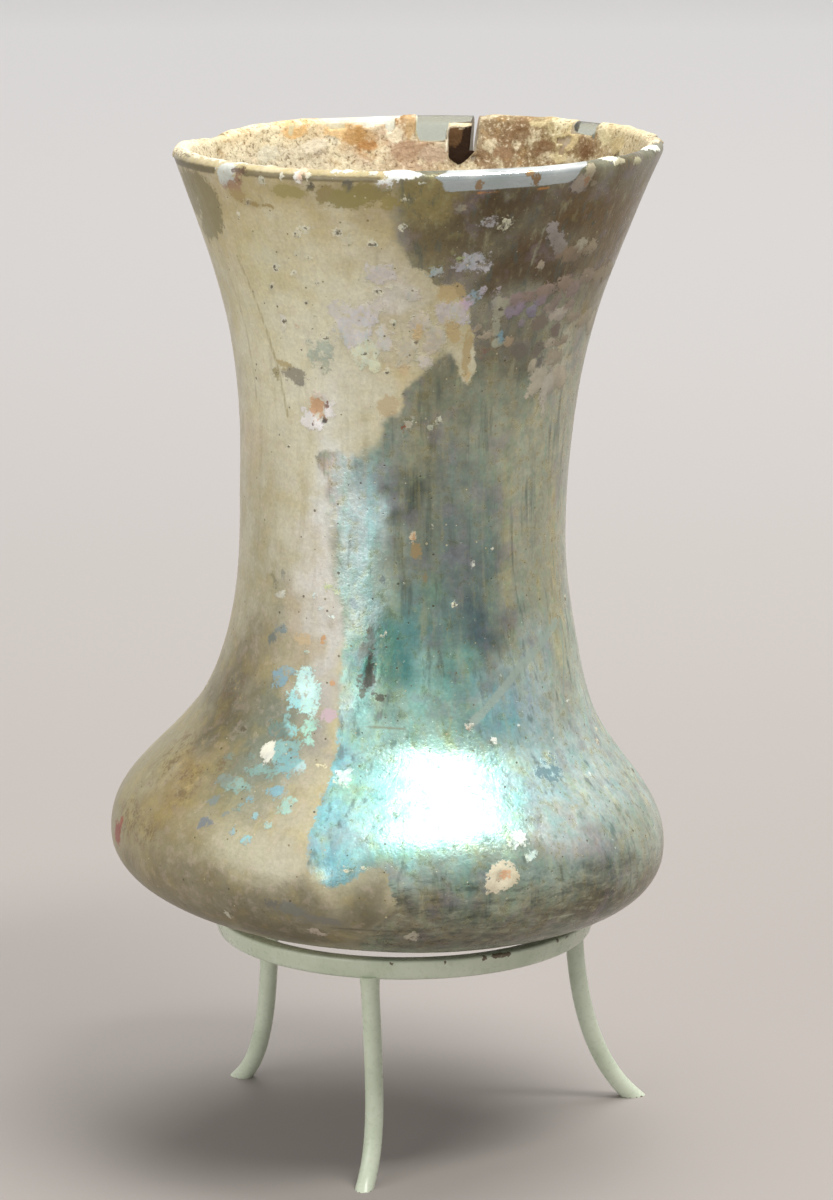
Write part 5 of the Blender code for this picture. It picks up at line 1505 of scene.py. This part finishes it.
# %% Painted metal
CHIPS = ((-93, 0.5), (-78, 0.3), (-66, 0.5), (-62, 0.8), (-59.5, 0.7), (-57.5, 0.6), (-38, 0.4),
         (-33, 0.5), (20, 0.7), (64, 0.9), (118, 0.7), (160, 0.5))
CHIP_INSET, CHIP_DROP = 0.1, 0.2
CHIP_PLACE = Vector((RING_INNER + RING_WIDTH - CHIP_INSET, 0, RING_TOP - CHIP_DROP))
CHIP_HALF_HEIGHT = 0.5
FOOT_CHIP_HEIGHT = -0.05


def paint_chips(piece):
    """How far inside the nearest chip: spots on the ring's top corner, and the feet's ends."""
    spots = places_of(piece.data) / MM
    depth = FOOT_CHIP_HEIGHT - spots[:, 2]
    for angle, size in CHIPS:
        middle = Matrix.Rotation(math.radians(angle), 3, "Z") @ CHIP_PLACE
        away = (spots - (*RING_CENTRE, 0) - middle) / (size, size, CHIP_HALF_HEIGHT)
        depth = np.maximum(depth, (1 - np.linalg.norm(away, axis=1)) * CHIP_HALF_HEIGHT)
    store_value(piece.data, "chip", depth)


enamel, enamel_shader, add = new_material("brushed enamel paint")
place = add("TexCoord", out="Object")
slow, grime, fine = [
    add("TexNoise", Vector=place, Scale=per_mm(size), Detail=detail)
    for size, detail in ((6.0, 2.0), (1.2, 4.0), (0.6, 3.0))]
shade = add("MapRange", Value=slow, From_Min=0.35, From_Max=0.65)
base = add("Mix", COLOURS, 2, _0=shade, _6=colour("#BEC8B2"), _7=colour("#CBD3BF"))
base = lay_tints(add, base, ((grime, 0.58, 0.75, 0.20, "#8C9478"),))
chip = add("Attribute", {"attribute_name": "chip"}, "Fac")
ragged = add("Math", TIMES_PLUS, _0=fine, _1=1.6, _2=-0.8)
chip = add("Math", PLUS, _0=chip, _1=ragged)
chip = add("MapRange", SMOOTH, Value=chip, From_Min=0.0, From_Max=0.06)
base = add("Mix", COLOURS, 2, _0=chip, _6=base, _7=colour("#6A5F4C"))
height = add("Math", TIMES_PLUS, _0=chip, _1=-0.6, _2=slow)
bump = add("Bump", Strength=0.6, Distance=0.12 * MM, Height=height)
gloss = add("MapRange", Value=grime, From_Min=0.3, From_Max=0.7, To_Min=0.24, To_Max=0.36)
add(enamel_shader, Base_Color=base, Roughness=gloss, Normal=bump)
print("the enamel has", len(enamel.node_tree.nodes), "nodes")

# %% [markdown]
# The ring and the rods stay single pieces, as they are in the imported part, and each takes the
# place of its own solid.

# %% Build the stand
STAND_SMOOTH_ANGLE = math.radians(40)
stand = {"stand_ring": as_object("painted_ring", make_ring_mesh(), enamel, STAND_SMOOTH_ANGLE)}
for name, (angle, splay, bow) in LEGS.items():
    leg_mesh = make_leg_mesh(angle, splay, bow)
    stand["stand_leg_" + name] = as_object("painted_leg_" + name, leg_mesh, enamel, STAND_SMOOTH_ANGLE)
for node, piece in stand.items():
    paint_chips(piece)
    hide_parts(node)
    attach(piece, "root")
print("stand done:", ", ".join(stand))

# %% [markdown]
# The studio, in metres: a pale, faintly pink floor that curves up into a backdrop, so no
# horizon shows. It is one strip of paper, a curved profile extruded sideways. Its colour runs
# from greyer near the beaker to lighter at the back: painted shade on the floor and painted
# light up the backdrop.

# %% Floor and backdrop
BACK_Y, SIDE_X, FRONT_Y, SWEEP_RADIUS, BACK_TOP = 2.1, 2.2, -1.8, 0.8, 1.6
SWEEP_STEPS = 24


def make_backdrop():
    sweep_start = BACK_Y - SWEEP_RADIUS
    route = [(FRONT_Y, 0), (sweep_start, 0)]
    for step in range(1, SWEEP_STEPS):
        angle = 0.5 * math.pi * step / SWEEP_STEPS
        route.append((sweep_start + SWEEP_RADIUS * math.sin(angle),
                      SWEEP_RADIUS * (1 - math.cos(angle))))
    route += [(BACK_Y, SWEEP_RADIUS), (BACK_Y, BACK_TOP)]
    bm = bmesh.new()
    verts = [bm.verts.new((-SIDE_X, *spot)) for spot in route]
    edges = [bm.edges.new(pair) for pair in zip(verts, verts[1:])]
    grown = bmesh.ops.extrude_edge_only(bm, edges=edges)["geom"]
    moved = [item for item in grown if isinstance(item, bmesh.types.BMVert)]
    bmesh.ops.translate(bm, vec=(2 * SIDE_X, 0, 0), verts=moved)
    bmesh.ops.recalc_face_normals(bm, faces=bm.faces)
    return bm


paper, paper_shader, add = new_material("matt background paper")
place = add("TexCoord", out="Object")
depth = add("SeparateXYZ", Vector=place).node.outputs["Y"]
# Painted light and shade: the paper is darker near the beaker and lighter further back.
painted_light_falloff = add("MapRange", Value=depth, From_Min=0.1, From_Max=1.2)
painted_light_falloff = add("Math", {"operation": "POWER"}, _0=painted_light_falloff, _1=1.5)
shade = add("Mix", COLOURS, 2, _0=painted_light_falloff, _6=colour("#9A9490"), _7=colour("#EDEBEB"))
add(paper_shader, Base_Color=shade, Roughness=0.95, Specular_IOR_Level=0.1)
backdrop = as_object("backdrop", make_backdrop(), paper)
print("the backdrop is", 2 * SIDE_X, "m wide and", BACK_TOP, "m tall")

# %% [markdown]
# Four soft lights. The key is a long oval high on the right, turned a little: its reflection is
# the bright spot on the belly. A broad light from above and behind fills the mouth, and is kept
# out of the reflections. Two weaker ones on the left and in front show the left side's satin,
# and a dim white world softens the shadows.

# %% Lights
BELLY_LOOK = (0, 0, 0.09)


def softbox(name, azimuth, elevation, distance, wide, tall, watts, tint="#FFFFFF"):
    """An area light that looks at the belly from an azimuth and an elevation in degrees."""
    lamp = bpy.data.lights.new(name, "AREA")
    lamp.shape = "RECTANGLE"
    lamp.size, lamp.size_y = wide, tall
    lamp.energy = watts
    lamp.color = linear(tint)
    light = bpy.data.objects.new(name, lamp)
    azimuth, elevation = math.radians(azimuth), math.radians(elevation)
    flat = math.cos(elevation)
    direction = Vector((flat * math.cos(azimuth), flat * math.sin(azimuth), math.sin(elevation)))
    light.location = Vector(BELLY_LOOK) + direction * distance
    light.rotation_euler = direction.to_track_quat("Z", "Y").to_euler()
    bpy.context.collection.objects.link(light)
    return light


KEY_ROLL = math.radians(-14)
key = softbox("key", -44, 58, 1.1, 0.80, 0.20, 8.8, "#FFFEFA")
key.data.shape = "ELLIPSE"
key.rotation_euler = (key.rotation_euler.to_matrix() @ Matrix.Rotation(KEY_ROLL, 3, "Z")).to_euler()
softbox("top", 56, 75, 1.0, 0.85, 0.85, 12.6).visible_glossy = False
softbox("left_fill", -150, 25, 1.3, 0.8, 0.9, 3.3, "#FCFBF9")
softbox("front_fill", -128, 14, 1.5, 1.0, 0.6, 6.4, "#F9F9F6")

WORLD_TINT, WORLD_STRENGTH = "#F1F1F0", 0.45
world = bpy.data.worlds.new("studio")
world.use_nodes = True
add_node(world.node_tree, world.node_tree.nodes["Background"], Color=colour(WORLD_TINT),
         Strength=WORLD_STRENGTH)
bpy.context.scene.world = world
bpy.context.scene.view_settings.view_transform = "Standard"
print("lights:", [light.name for light in bpy.data.lights])

# %% [markdown]
# The camera stands where the photograph's did: a metre away, 34 cm above the floor, looking
# down by about 14 degrees through a long lens.

# %% Camera
CAMERA_PLACE = (0.0048, -0.9963, 0.338)
CAMERA_PITCH = math.radians(90 - 13.933)
CAMERA_LENS = 188.4
CAMERA_SENSOR = 36.0
lens = bpy.data.cameras.new("camera")
lens.sensor_fit = "VERTICAL"
lens.sensor_height = CAMERA_SENSOR
lens.lens = CAMERA_LENS
camera = bpy.data.objects.new("camera", lens)
camera.location = CAMERA_PLACE
camera.rotation_euler = (CAMERA_PITCH, 0, 0)
bpy.context.collection.objects.link(camera)
bpy.context.scene.camera = camera
print("the camera's picture is", round(math.degrees(lens.angle_y), 1), "degrees tall")
